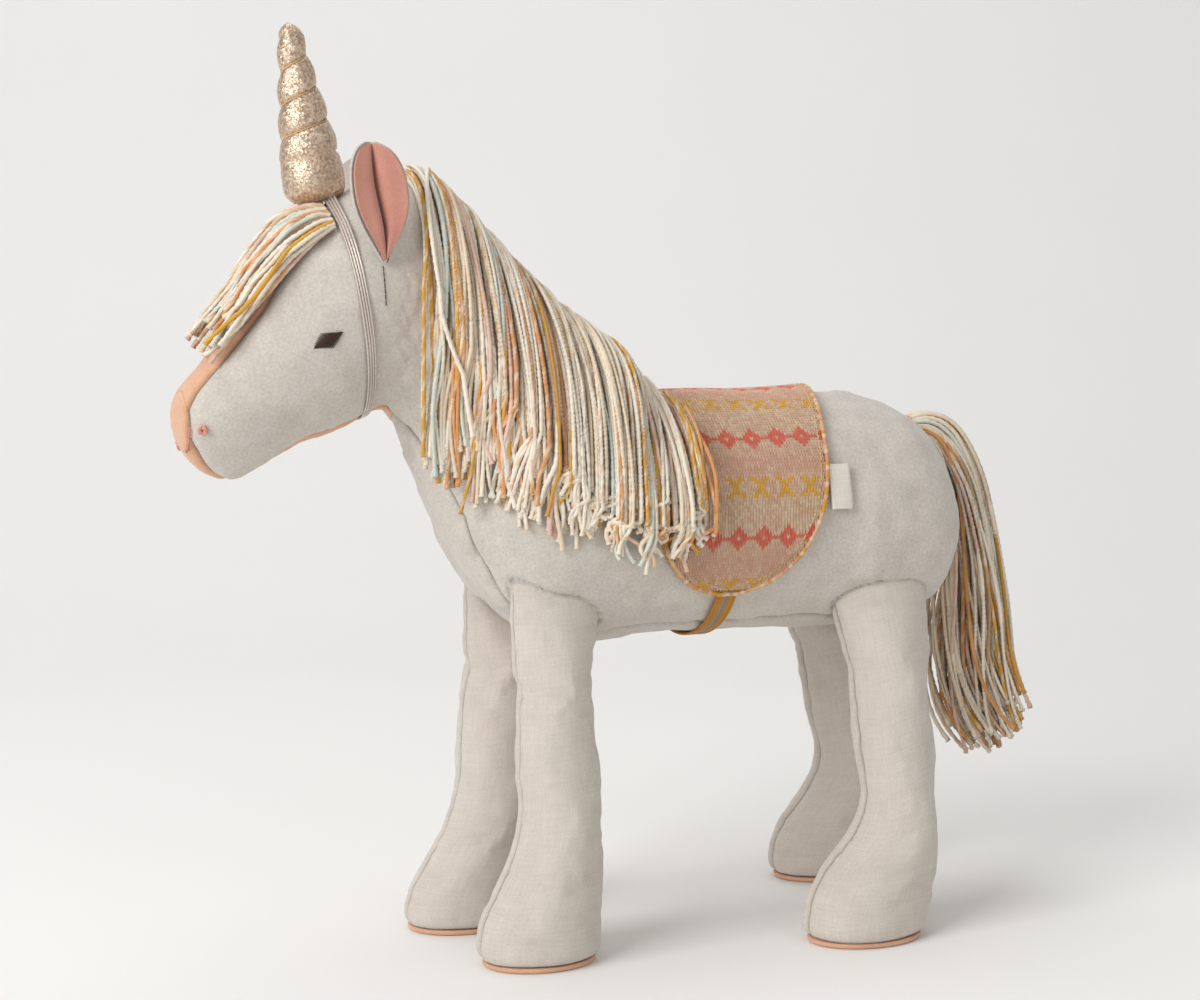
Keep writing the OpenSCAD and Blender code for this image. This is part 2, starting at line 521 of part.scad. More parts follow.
body_side_left();
body_side_right();
belly_gusset();
face_gusset();
jaw_gusset();
body_filling();
eye_left();
eye_right();
nostril_knots();
mouth_stitches();
horn_cover();
horn_filling();
horn_thread();
horn_elastic();
ear_shell_left();
ear_shell_right();
ear_lining_left();
ear_lining_right();
forelock();
mane_lock_1();
mane_lock_2();
mane_lock_3();
mane_lock_4();
mane_lock_5();
tail();
leg_cover_front_left();
leg_cover_front_right();
leg_cover_rear_left();
leg_cover_rear_right();
leg_filling_front_left();
leg_filling_front_right();
leg_filling_rear_left();
leg_filling_rear_right();
sole_pad_front_left();
sole_pad_front_right();
sole_pad_rear_left();
sole_pad_rear_right();
saddle_knit();
saddle_backing();
girth_elastic();
label_tab();
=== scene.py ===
"""Plush toy unicorn: its skins, yarn, knitted saddle pad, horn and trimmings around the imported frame.

Lengths are in millimetres until a mesh is made, which turns them to metres. X runs from nose to tail,
the unicorn's left side is towards -Y, and Z is up from the ground.
"""
import logging
from dataclasses import dataclass, field
from enum import Enum
from typing import Callable

import bpy
import numpy as np
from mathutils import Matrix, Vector

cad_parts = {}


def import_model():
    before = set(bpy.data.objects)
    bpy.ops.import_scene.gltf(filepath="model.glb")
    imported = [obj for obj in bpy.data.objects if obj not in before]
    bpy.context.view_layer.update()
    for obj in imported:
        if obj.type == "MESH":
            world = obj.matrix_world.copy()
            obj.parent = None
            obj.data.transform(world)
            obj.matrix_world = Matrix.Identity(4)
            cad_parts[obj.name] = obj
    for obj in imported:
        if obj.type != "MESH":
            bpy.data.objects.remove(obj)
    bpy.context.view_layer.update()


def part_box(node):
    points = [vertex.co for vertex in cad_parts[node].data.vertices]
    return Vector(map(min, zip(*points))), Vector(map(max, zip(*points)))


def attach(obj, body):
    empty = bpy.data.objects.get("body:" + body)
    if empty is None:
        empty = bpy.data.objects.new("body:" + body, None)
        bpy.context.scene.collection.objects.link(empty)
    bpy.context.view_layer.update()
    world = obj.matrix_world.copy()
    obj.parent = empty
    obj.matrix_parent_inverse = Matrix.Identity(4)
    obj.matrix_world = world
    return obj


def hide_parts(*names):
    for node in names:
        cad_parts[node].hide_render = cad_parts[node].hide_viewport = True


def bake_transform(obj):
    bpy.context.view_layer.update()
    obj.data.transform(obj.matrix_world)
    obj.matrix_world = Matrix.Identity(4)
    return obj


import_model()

MM = 0.001
log = logging.getLogger("unicorn")


# ---------------------------------------------------------------- colours and materials

def linear(code: str) -> tuple[float, float, float, float]:
    """Turn an sRGB colour to the linear one that shaders use.

    Args:
        code: Hex code such as "#cdc8c1".

    Returns:
        Linear red, green, blue and an alpha of 1.
    """
    value = np.array([int(code[i:i + 2], 16) for i in (1, 3, 5)]) / 255
    value = np.where(value <= 0.04045, value / 12.92, ((value + 0.055) / 1.055) ** 2.4)
    return (*(float(x) for x in value), 1.0)


def add_node(tree: bpy.types.NodeTree, kind: str, links: dict | None = None, **settings) -> bpy.types.Node:
    """Add one node with its settings, values and incoming links.

    Args:
        tree: Node tree of the material.
        kind: Blender's name of the node's type.
        links: Input name or number to a socket or a plain value.
        **settings: Properties of the node itself.

    Returns:
        The new node.
    """
    node = tree.nodes.new(kind)
    for name, value in settings.items():
        setattr(node, name, value)
    for key, value in (links or {}).items():
        if isinstance(value, bpy.types.NodeSocket):
            tree.links.new(value, node.inputs[key])
        else:
            node.inputs[key].default_value = value
    return node


class Weave(Enum):
    """What a textile's surface is made of."""

    NAP = "short brushed fibres that lie every way"
    PLAIN = "threads that pass over one and under one"
    SPUN = "fibres twisted along a thread"


@dataclass(frozen=True)
class Textile:
    """A cloth, yarn or tape: its colours, its surface and how soft it looks.

    Args:
        name: Plain name of the real material.
        dark: Hex colour of the deeper fibres.
        light: Hex colour of the raised fibres.
        weave: What the surface is made of.
        pitch: Thread spacing or fibre length in mm.
        relief: Height of the surface's texture in mm.
        roughness: Roughness of the fibres.
        sheen: Soft edge light of the nap.
        dyed: True where the colour comes from the mesh's own "dye" attribute.
        metallic: Share of metal, above 0 only for metallised threads.
        fleck: Contrast of the flecks in the spun fibre.
    """

    name: str
    dark: str
    light: str
    weave: Weave = Weave.NAP
    pitch: float = 1.0
    relief: float = 0.1
    roughness: float = 0.9
    sheen: float = 0.25
    dyed: bool = False
    metallic: float = 0.0
    fleck: float = 0.5

    def build(self) -> bpy.types.Material:
        """Make the node material.

        Returns:
            The finished material.
        """
        material = bpy.data.materials.new(self.name)
        material.use_nodes = True
        tree = material.node_tree
        tree.nodes.clear()
        where = add_node(tree, "ShaderNodeTexCoord")
        flat = where.outputs["UV"]
        solid = where.outputs["Object"]
        if self.weave is Weave.SPUN:
            stretched = add_node(tree, "ShaderNodeMapping", {0: flat, "Scale": (0.35, 1.6, 1.0)})
            grain = add_node(tree, "ShaderNodeTexNoise",
                             {"Vector": stretched.outputs[0], "Scale": 1 / self.pitch, "Detail": 3.0})
        else:
            grain = add_node(tree, "ShaderNodeTexNoise", {
                "Vector": solid, "Scale": 1 / (self.pitch * MM), "Detail": 4.0, "Roughness": 0.65})
        blotch = add_node(tree, "ShaderNodeTexNoise",
                          {"Vector": solid, "Scale": 1 / (11 * MM), "Detail": 3.0})
        broad = add_node(tree, "ShaderNodeMath", {
            0: blotch.outputs["Fac"], 1: 0.35, 2: 0.325 - self.fleck / 2}, operation="MULTIPLY_ADD")
        shade = add_node(tree, "ShaderNodeMath", {
            0: grain.outputs["Fac"], 1: self.fleck, 2: broad.outputs[0]}, operation="MULTIPLY_ADD")
        height = grain.outputs["Fac"]
        if self.weave is Weave.PLAIN:
            height = self.woven(tree, flat, grain.outputs["Fac"])
            slubs = [add_node(tree, "ShaderNodeTexNoise", {
                "Vector": add_node(tree, "ShaderNodeMapping", {0: flat, "Scale": scale}).outputs[0],
                "Scale": 1 / self.pitch, "Detail": 1.0}).outputs["Fac"]
                for scale in ((0.06, 1.0, 1.0), (1.0, 0.06, 1.0))]
            both = add_node(tree, "ShaderNodeMath", {0: slubs[0], 1: slubs[1]}, operation="ADD")
            drift = add_node(tree, "ShaderNodeMath", {0: both.outputs[0], 1: 1.0}, operation="SUBTRACT")
            shade = add_node(tree, "ShaderNodeMath", {0: drift.outputs[0], 1: 0.35, 2: shade.outputs[0]},
                             operation="MULTIPLY_ADD")
        ramp = add_node(tree, "ShaderNodeValToRGB", {"Fac": shade.outputs[0]})
        ramp.color_ramp.elements[0].color = linear(self.dark)
        ramp.color_ramp.elements[0].position = 0.25
        ramp.color_ramp.elements[1].color = linear(self.light)
        ramp.color_ramp.elements[1].position = 0.75
        colour = ramp.outputs["Color"]
        if self.dyed:
            dye = add_node(tree, "ShaderNodeAttribute", attribute_name="dye")
            colour = add_node(tree, "ShaderNodeVectorMath", {0: dye.outputs["Color"], 1: colour},
                              operation="MULTIPLY").outputs[0]
        # Painted shade: the colour is darkened by up to 0.55 where the seam attribute is high, in seam
        # grooves and creases.
        seam = add_node(tree, "ShaderNodeAttribute", attribute_name="seam")
        seam_shade = add_node(tree, "ShaderNodeMath", {0: seam.outputs["Fac"], 1: -0.55, 2: 1.0},
                        operation="MULTIPLY_ADD")
        colour = add_node(tree, "ShaderNodeVectorMath", {0: colour, 1: seam_shade.outputs[0]},
                          operation="MULTIPLY").outputs[0]
        bump = add_node(tree, "ShaderNodeBump",
                        {"Height": height, "Distance": self.relief * MM, "Strength": 1.0})
        skin = add_node(tree, "ShaderNodeBsdfPrincipled", {
            "Base Color": colour, "Roughness": self.roughness, "Metallic": self.metallic,
            "Sheen Weight": self.sheen, "Sheen Roughness": 0.5, "Specular IOR Level": 0.25,
            "Normal": bump.outputs["Normal"]})
        add_node(tree, "ShaderNodeOutputMaterial", {"Surface": skin.outputs[0]})
        return material

    def woven(self, tree: bpy.types.NodeTree, flat: bpy.types.NodeSocket,
              grain: bpy.types.NodeSocket) -> bpy.types.NodeSocket:
        """Height of a plain weave: in each square of a chequer the upper thread is round across its own
        width and falls a little along it, and warp and weft take turns.

        Args:
            tree: Node tree of the material.
            flat: The cloth's own coordinates in mm.
            grain: Noise that roughens the threads.

        Returns:
            Socket of the height.
        """
        threads = add_node(tree, "ShaderNodeVectorMath", {
            0: flat, 1: (1 / self.pitch, 1 / self.pitch, 0.0)}, operation="MULTIPLY").outputs[0]
        chequer = add_node(tree, "ShaderNodeTexChecker", {"Vector": threads, "Scale": 1.0}).outputs["Fac"]
        split = add_node(tree, "ShaderNodeSeparateXYZ", {0: threads})
        ridges = []
        for axis in (0, 1):
            phase = add_node(tree, "ShaderNodeMath", {0: split.outputs[axis], 1: np.pi}, operation="MULTIPLY")
            wave = add_node(tree, "ShaderNodeMath", {0: phase.outputs[0]}, operation="SINE")
            ridge = add_node(tree, "ShaderNodeMath", {0: wave.outputs[0]}, operation="ABSOLUTE")
            ridges.append(ridge.outputs[0])
        over = []
        for upper, under in (ridges, ridges[::-1]):
            dip = add_node(tree, "ShaderNodeMath", {0: under, 1: 0.4, 2: 0.6}, operation="MULTIPLY_ADD")
            thread = add_node(tree, "ShaderNodeMath", {0: upper, 1: dip.outputs[0]}, operation="MULTIPLY")
            over.append(thread.outputs[0])
        mix = add_node(tree, "ShaderNodeMix", {"Factor": chequer, "A": over[0], "B": over[1]})
        height = add_node(tree, "ShaderNodeMath", {0: grain, 1: 0.6, 2: mix.outputs["Result"]},
                          operation="MULTIPLY_ADD")
        return height.outputs[0]


@dataclass(frozen=True)
class FoilCloth:
    """Champagne foil printed on jersey: crushed foil flakes that each face their own way and glitter."""

    name: str = "champagne foil cloth"
    dark: str = "#b79b88"
    light: str = "#ead2b8"
    flake: float = 0.34

    def build(self) -> bpy.types.Material:
        """Make the node material.

        Returns:
            The finished material.
        """
        material = bpy.data.materials.new(self.name)
        material.use_nodes = True
        tree = material.node_tree
        tree.nodes.clear()
        where = add_node(tree, "ShaderNodeTexCoord").outputs["Object"]
        cells = add_node(tree, "ShaderNodeTexVoronoi", {"Vector": where, "Scale": 1 / (self.flake * MM)})
        tilt = add_node(tree, "ShaderNodeVectorMath", {0: cells.outputs["Color"], 1: (0.5, 0.5, 0.5)},
                        operation="SUBTRACT").outputs[0]
        tilt = add_node(tree, "ShaderNodeVectorMath", {0: tilt, "Scale": 0.6}, operation="SCALE").outputs[0]
        normal = add_node(tree, "ShaderNodeNewGeometry").outputs["Normal"]
        normal = add_node(tree, "ShaderNodeVectorMath", {0: normal, 1: tilt}, operation="ADD").outputs[0]
        normal = add_node(tree, "ShaderNodeVectorMath", {0: normal}, operation="NORMALIZE").outputs[0]
        wear = add_node(tree, "ShaderNodeTexNoise", {"Vector": where, "Scale": 1 / (1.3 * MM), "Detail": 4.0})
        ramp = add_node(tree, "ShaderNodeValToRGB", {"Fac": wear.outputs["Fac"]})
        ramp.color_ramp.elements[0].color = linear(self.dark)
        ramp.color_ramp.elements[0].position = 0.35
        ramp.color_ramp.elements[1].color = linear(self.light)
        ramp.color_ramp.elements[1].position = 0.6
        rough = add_node(tree, "ShaderNodeMath", {0: wear.outputs["Fac"], 1: 0.35, 2: 0.2},
                         operation="MULTIPLY_ADD").outputs[0]
        skin = add_node(tree, "ShaderNodeBsdfPrincipled", {
            "Base Color": ramp.outputs["Color"], "Metallic": 0.9, "Roughness": rough, "Normal": normal})
        add_node(tree, "ShaderNodeOutputMaterial", {"Surface": skin.outputs[0]})
        return material


@dataclass
class Finishes:
    """Every material of the toy, made once and looked up by its slot in the record."""

    made: dict = field(default_factory=dict)

    # Brushed cotton: soft matt cloth with a heathered nap, which gives the eye a warm blurred grey.
    # Peach and pink cotton: finer and smoother, in one clear colour. Linen: a visible uneven weave.
    # Fibre filling: white loose wool, seen only inside. Threads: twisted and a little shiny.
    # Cotton yarn: matt spun plies in several dyes. Knitted wool: dyed stitches with loose fibre.
    # Nap and weave are drawn coarser than the real cloth's, which would blur to one flat tone.
    # Silver elastic: metallised ribs. Striped elastic: covered rubber. Tape: tight plain weave.
    RANGE = {
        "brushed_cotton": Textile("heathered brushed cotton", "#b5aca2", "#dad3ca", pitch=1.1, relief=0.14,
                                  fleck=0.8),
        "linen": Textile("slubbed linen weave", "#c5bbb0", "#dbd2c8", Weave.PLAIN, 0.85, 0.08, fleck=0.6),
        "peach_cotton": Textile("peach brushed cotton", "#cc9875", "#e6bb9d", pitch=0.9, relief=0.07),
        "pink_cotton": Textile("pink fine cotton", "#b87a69", "#d69d8c", pitch=0.7, relief=0.05),
        "fibre_filling": Textile("loose fibre filling", "#e4e0d8", "#f4f1ea", pitch=2.5, relief=0.6),
        "brown_thread": Textile("brown embroidery thread", "#281813", "#523a2c", Weave.SPUN,
                                0.5, 0.05, 0.55, 0.1),
        "pink_thread": Textile("pink embroidery thread", "#c4806d", "#e7aa96", Weave.SPUN,
                               0.5, 0.05, 0.6, 0.1),
        "gold_thread": Textile("gold sewing thread", "#b98f5e", "#f0d8a6", Weave.SPUN,
                               0.5, 0.04, 0.45, 0.1),
        "cotton_yarn": Textile("dyed cotton yarn", "#f2ece2", "#ffffff", Weave.SPUN,
                               0.6, 0.05, 0.85, 0.2, True),
        "knitted_wool": Textile("dyed wool stitches", "#f2ebe3", "#ffffff", Weave.SPUN,
                                0.5, 0.06, 0.9, 0.2, True),
        "mustard_lining": Textile("mustard cotton lining", "#c2852a", "#dda03e", Weave.PLAIN, 0.8, 0.06),
        "silver_elastic": Textile("metallised ribbed elastic", "#d5cbc4", "#ffffff", Weave.SPUN, 0.6, 0.05,
                                  0.38, 0.1, True, 0.35),
        "striped_elastic": Textile("covered rubber elastic", "#c8c0b6", "#ffffff", Weave.SPUN, 0.6, 0.05,
                                   0.8, 0.1, True),
        "cotton_tape": Textile("woven cotton tape", "#cfc6b8", "#eae4d9", Weave.PLAIN, 0.6, 0.05),
        "metallic_cloth": FoilCloth(),
    }

    def get(self, slot: str) -> bpy.types.Material:
        """Return the material of a slot, making it the first time."""
        if slot not in self.made:
            self.made[slot] = self.RANGE[slot].build()
        return self.made[slot]


FINISHES = Finishes()


# ---------------------------------------------------------------- curves, grids and meshes

def spline(table: np.ndarray, t: np.ndarray) -> np.ndarray:
    """Smooth curve through the rows of a table: on each span the cubic whose slope at a row is half the
    difference between the rows on either side of it.

    Args:
        table: Rows to pass through.
        t: Where to read the curve, counted in rows.

    Returns:
        One row of values for every t.
    """
    t = np.asarray(t, float)
    last = len(table) - 1
    i = np.clip(np.floor(t).astype(int), 0, last - 1)
    u = (t - i)[..., None]
    a, b, c, d = (table[np.clip(i + k, 0, last)] for k in (-1, 0, 1, 2))
    straight = 2 * b + (c - a) * u
    bend = (2 * a - 5 * b + 4 * c - d) * u ** 2
    return 0.5 * (straight + bend + (3 * b - a - 3 * c + d) * u ** 3)


def rounded(value: np.ndarray, bend: np.ndarray) -> np.ndarray:
    """Raise a sine or cosine to a power and keep its sign, so that below 1 a cross section is squarer."""
    return np.sign(value) * np.abs(value) ** bend


def ripple(points: np.ndarray, size: float, seed: int) -> np.ndarray:
    """Smooth unevenness: the mean of sine waves of one length that run in random directions.

    Args:
        points: Places in mm.
        size: Length of the waves in mm.
        seed: Which unevenness it is.

    Returns:
        About -1 to 1 at each place.
    """
    rng = np.random.default_rng(seed)
    ways = rng.normal(size=(3, 14))
    ways *= 2 * np.pi / size / np.linalg.norm(ways, axis=0)
    return np.sin(points @ ways + rng.uniform(0, 2 * np.pi, 14)).sum(-1) / 5


def close_at_edges(count: int) -> np.ndarray:
    """Shares from 0 to 1 that lie closer together towards both ends: half even, half a cosine."""
    even = np.linspace(0, 1, count)
    return 0.45 * even + 0.55 * (0.5 - 0.5 * np.cos(np.pi * even))


def lengths(points: np.ndarray, axis: int) -> np.ndarray:
    """Length along the rows or columns of a grid from its first point to each one."""
    step = np.linalg.norm(np.diff(points, axis=axis), axis=-1)
    return np.concatenate([np.zeros_like(step.take([0], axis)), np.cumsum(step, axis)], axis)


def grid_normals(points: np.ndarray) -> np.ndarray:
    """Unit vector across a grid: its column direction crossed with its row direction."""
    along, across = np.gradient(points, axis=(0, 1))
    normal = np.cross(across, along)
    return normal / np.maximum(1e-9, np.linalg.norm(normal, axis=-1, keepdims=True))


@dataclass
class Patch:
    """A grid of points in mm, with what its material reads.

    Args:
        points: Rows, columns and x, y, z.
        wrap: True where the last column joins the first.
        caps: True where both end rows are closed with a fan.
        flip: True where the faces have to be turned round.
        dye: Linear colour of each point.
        seam: How deep in a seam each point is, 0 to 1; the cloth materials darken the colour there as painted
            shade.
    """

    points: np.ndarray
    wrap: bool = False
    caps: bool = False
    flip: bool = False
    dye: np.ndarray | None = None
    seam: np.ndarray | None = None

    def parts(self) -> tuple[np.ndarray, np.ndarray, np.ndarray, np.ndarray, np.ndarray]:
        """Work out vertices, four-sided faces, fans and the cloth's own coordinates, which are the lengths
        along its rows and columns.

        Returns:
            Vertices, quads, triangles, and the coordinates of the quads' and the triangles' corners.
        """
        rows, cols = self.points.shape[:2]
        verts = self.points.reshape(-1, 3)
        wide = np.concatenate([self.points, self.points[:, :1]], 1) if self.wrap else self.points
        along, across = lengths(wide, 0), lengths(wide, 1)
        across = across - across[:, wide.shape[1] // 2][:, None]
        flat = np.stack([along, across], -1)
        i, j = np.meshgrid(np.arange(rows - 1), np.arange(wide.shape[1] - 1), indexing="ij")
        i, j = i.ravel(), j.ravel()
        row = np.stack([i, i, i + 1, i + 1], -1)
        col = np.stack([j, j + 1, j + 1, j], -1)
        quads, coords = row * cols + col % cols, flat[row, col]
        tris, tri_coords = np.zeros((0, 3), int), np.zeros((0, 3, 2))
        if self.caps:
            n = len(verts)
            verts = np.concatenate([verts, self.points[[0, -1]].mean(1)])
            j = np.arange(cols)
            k = (j + 1) % cols
            last = (rows - 1) * cols
            tris = np.concatenate([np.stack([k, j, np.full(cols, n)], -1),
                                   np.stack([last + j, last + k, np.full(cols, n + 1)], -1)])
            tri_coords = verts[tris][..., :2]
        if self.flip:
            quads, coords, tris, tri_coords = (x[:, ::-1] for x in (quads, coords, tris, tri_coords))
        return verts, quads, tris, coords, tri_coords

    def point_values(self, name: str, width: int) -> np.ndarray:
        """Read a value of each vertex, fans' middles too.

        Args:
            name: "dye" or "seam".
            width: How many numbers the value has.

        Returns:
            One row of numbers a vertex.
        """
        given = getattr(self, name)
        rows, cols = self.points.shape[:2]
        if given is None:
            given = np.ones((rows, cols, width)) * (width == 3)
        given = given.reshape(rows, cols, width)
        values = given.reshape(-1, width)
        return np.concatenate([values, given[[0, -1]].mean(1)]) if self.caps else values


def make_piece(name: str, patches: list[Patch], slot: str, thick: float = 0.0) -> bpy.types.Object:
    """Put patches into one mesh with its material, coordinates and colours.

    Args:
        name: Name of the piece.
        patches: The grids that it is made of.
        slot: Material slot of the record.
        thick: Thickness in mm of a sheet that gets a wall, or 0.

    Returns:
        The object, at the origin.
    """
    verts, quads, tris, flat4, flat3, dye, seam, start = [], [], [], [], [], [], [], 0
    for patch in patches:
        v, q, f, c4, c3 = patch.parts()
        verts.append(v)
        quads.append(q + start)
        tris.append(f + start)
        flat4.append(c4.reshape(-1, 2))
        flat3.append(c3.reshape(-1, 2))
        dye.append(patch.point_values("dye", 3))
        seam.append(patch.point_values("seam", 1))
        start += len(v)
    verts, quads, tris = (np.concatenate(x) for x in (verts, quads, tris))
    corners = np.concatenate([quads.ravel(), tris.ravel()])
    starts = np.concatenate([np.arange(len(quads)) * 4, len(quads) * 4 + np.arange(len(tris)) * 3])
    mesh = bpy.data.meshes.new(name)
    mesh.vertices.add(len(verts))
    mesh.vertices.foreach_set("co", (verts * MM).astype(np.float32).ravel())
    mesh.loops.add(len(corners))
    mesh.loops.foreach_set("vertex_index", corners.astype(np.int32))
    mesh.polygons.add(len(starts))
    mesh.polygons.foreach_set("loop_start", starts.astype(np.int32))
    mesh.polygons.foreach_set("use_smooth", np.ones(len(starts), bool))
    mesh.uv_layers.new(name="cloth").data.foreach_set(
        "uv", np.concatenate(flat4 + flat3).astype(np.float32).ravel())
    colours = np.concatenate([np.concatenate(dye), np.ones((len(verts), 1))], 1)
    mesh.color_attributes.new("dye", "FLOAT_COLOR", "POINT").data.foreach_set(
        "color", colours.astype(np.float32).ravel())
    mesh.attributes.new("seam", "FLOAT", "POINT").data.foreach_set(
        "value", np.concatenate(seam).astype(np.float32).ravel())
    mesh.update(calc_edges=True)
    mesh.validate()
    piece = bpy.data.objects.new(name, mesh)
    bpy.context.scene.collection.objects.link(piece)
    mesh.materials.append(FINISHES.get(slot))
    if thick:
        wall = piece.modifiers.new("wall", "SOLIDIFY")
        wall.thickness = thick * MM
        wall.offset = -1.0
    log.info("%s: %d faces", name, len(starts))
    return piece


def tubes(paths: np.ndarray, radius: np.ndarray, side: np.ndarray, sides: int = 6, twist: float = 0.0,
          plies: int = 0, depth: float = 0.0) -> np.ndarray:
    """Carry rings along many paths at once. A ring stands square to its path, starts from the side
    direction made square to it, and turns by one round every twist mm. With plies its radius swells
    by depth on each ply, so that the plies wind round the thread.

    Args:
        paths: Threads, points and x, y, z.
        radius: Radius in mm at each point, or one for all.
        side: Direction that is never along a path.
        sides: Points of a ring.
        twist: Length of one turn in mm, or 0.
        plies: How many plies show.
        depth: Share of the radius that a ply stands out.

    Returns:
        Threads, points, sides and x, y, z.
    """
    ahead = np.gradient(paths, axis=1)
    ahead /= np.maximum(1e-9, np.linalg.norm(ahead, axis=-1, keepdims=True))
    first = side - ahead * (ahead * side).sum(-1, keepdims=True)
    first /= np.maximum(1e-9, np.linalg.norm(first, axis=-1, keepdims=True))
    second = np.cross(ahead, first)
    around = np.arange(sides) * 2 * np.pi / sides
    turn = np.broadcast_to(around, (*paths.shape[:2], sides))
    if twist:
        gone = np.concatenate([np.zeros((len(paths), 1)),
                               np.cumsum(np.linalg.norm(np.diff(paths, axis=1), axis=-1), 1)], 1)
        turn = turn + gone[..., None] * 2 * np.pi / twist
    reach = np.broadcast_to(np.asarray(radius, float), paths.shape[:2])[..., None] * (
        1 + depth * np.cos(plies * around))
    return (paths[:, :, None] + reach[..., None] * (
        np.cos(turn)[..., None] * first[:, :, None] + np.sin(turn)[..., None] * second[:, :, None]))


# ---------------------------------------------------------------- the stuffed body's form

@dataclass
class BodyForm:
    """Outline of head, neck and barrel as stations of top, bottom, half width and bend.

    Args:
        belly_z: Height of the belly.
        barrel_r: Radius of the barrel.
        barrel_len: Length of the straight barrel.
        cheek_half: Half width at the cheeks.
        gusset_half: Half width of the belly gusset.
    """

    belly_z: float = 128
    barrel_r: float = 50
    barrel_len: float = 98
    cheek_half: float = 35
    gusset_half: float = 24
    nose_end: float = 1.3
    HEAD = ((-189, -7, -189, -8, 0.02), (-187.5, 2, -187, -17, 0.36), (-183, 10, -183, -23, 0.52),
            (-177, 17, -176, -28, 0.62), (-167, 31, -166, -30, 0.70), (-157, 45, -154, -23.5, 0.79),
            (-147, 58, -140, -16, 0.88), (-137, 69.5, -126, -11, 0.96), (-127, 78, -114, -5.5, 1),
            (-115, 84.5, -107, -3.5, 1), (-102, 87, -102.5, -6, 0.96), (-89, 84, -99, -11, 0.93),
            (-75, 73, -95.5, -17.5, 0.95))
    NECK = ((-61, 57.5, -92, 72.5, 0.1, 1), (-47, 43.5, -87.5, 62, 0.32, 0.95), (-33, 30, -81, 49, 0.6, 0.82),
            (-19, 17, -71, 32, 0.84, 0.66), (-8, 7, -56, 14, 0.96, 0.66))
    RUMP = ((12, 0.03, 0.01, 0.99), (23, 0.11, 0.04, 0.96), (33, 0.25, 0.10, 0.89), (40, 0.46, 0.21, 0.77),
            (44.5, 0.75, 0.39, 0.55), (46.5, 1.16, 0.78, 0.04))
    FACE_STRIP = ((0, 13.5), (3, 13.5), (4, 16), (5, 17.5), (6, 15), (7, 9), (7.8, 2.5), (8.4, 0.1),
                  (28, 0.1))

    def __post_init__(self) -> None:
        """Work out the table of stations from the driving sizes."""
        self.withers = np.array([-1, self.belly_z + 2 * self.barrel_r])
        self.middle_z = self.belly_z + self.barrel_r
        wx, wz = self.withers
        end = wx + self.barrel_len
        rows = [(wx + a, wz + b, wx + c, wz + d, share * self.cheek_half, 1)
                for a, b, c, d, share in self.HEAD]
        rows += [(wx + a, wz + b, wx + c, self.belly_z + d,
                  self.cheek_half + (self.barrel_r - self.cheek_half) * grow, bend)
                 for a, b, c, d, grow, bend in self.NECK]
        rows += [(wx + top, wz, wx + low, self.belly_z, self.barrel_r, 1)
                 for top, low in ((0, -37), (13, 4), (34, 34), (66, 66), (self.barrel_len, self.barrel_len))]
        rows += [(end + dx, wz - drop * self.barrel_r, end + dx, self.belly_z + rise * self.barrel_r,
                  share * self.barrel_r, 1) for dx, drop, rise, share in self.RUMP]
        self.table = np.array(rows, float)
        self.last = len(rows) - 1
        self.under_strip = ((1.2, 13.3), (2, 12), (3, 6), (3.8, 1.2), (4.6, 1.5), (5.5, 8), (7, 9), (9, 8),
                            (10.2, 4), (13, self.gusset_half * 0.67), (15, self.gusset_half),
                            (25, self.gusset_half),
                            (27, self.gusset_half * 0.55), (28, 0.5))

    def point(self, t: np.ndarray, phi: np.ndarray, off: np.ndarray | float = 0.0) -> np.ndarray:
        """Place on the body: halfway between a station's top and bottom, then out to the rim of an oval
        at phi degrees from the top towards the left, and off mm further out.

        Args:
            t: Station number.
            phi: Angle in degrees, negative on the right side.
            off: Distance outside the cloth in mm.

        Returns:
            Points in mm.
        """
        t, phi, off = np.broadcast_arrays(*(np.asarray(value, float) for value in (t, phi, off)))
        tx, tz, bx, bz, half_width, bend = np.moveaxis(spline(self.table, t), -1, 0)
        half_x, half_z = (tx - bx) / 2, (tz - bz) / 2
        reach = np.maximum(0.5, np.hypot(half_x, half_z))
        grow = rounded(np.cos(np.radians(phi)), bend) * np.maximum(0.1, reach + off) / reach
        end_turn = np.where(t < 4, t / 4 - 1, np.maximum(0, t - self.last + 4) / 4)
        return np.stack([(tx + bx) / 2 + half_x * grow + off * end_turn,
                         -rounded(np.sin(np.radians(phi)), bend) * np.maximum(0.3, half_width + off),
                         (tz + bz) / 2 + half_z * grow], -1)

    def strip_angle(self, t: np.ndarray, strip: tuple) -> np.ndarray:
        """Angle in degrees that a strip of the listed half widths takes at station t."""
        row = spline(self.table, t)
        half = np.interp(t, *np.array(strip, float).T)
        return np.degrees(np.arcsin(np.minimum(0.98, half / row[..., 4]) ** (1 / row[..., 5])))

    def over(self, t: np.ndarray) -> np.ndarray:
        """Angle of the seam over the top."""
        return self.strip_angle(t, self.FACE_STRIP)

    def under(self, t: np.ndarray) -> np.ndarray:
        """Angle of the seam underneath, from the top."""
        return 180 - self.strip_angle(t, self.under_strip)

    def even_steps(self, start: float, end: float, count: int) -> np.ndarray:
        """Stations from start to end that lie equally far apart along the side."""
        t = np.linspace(start, end, 600)
        gone = lengths(self.point(t, 90)[None], 1)[0] + lengths(self.point(t, 20)[None], 1)[0]
        return np.interp(np.linspace(0, gone[-1], count), gone, t)

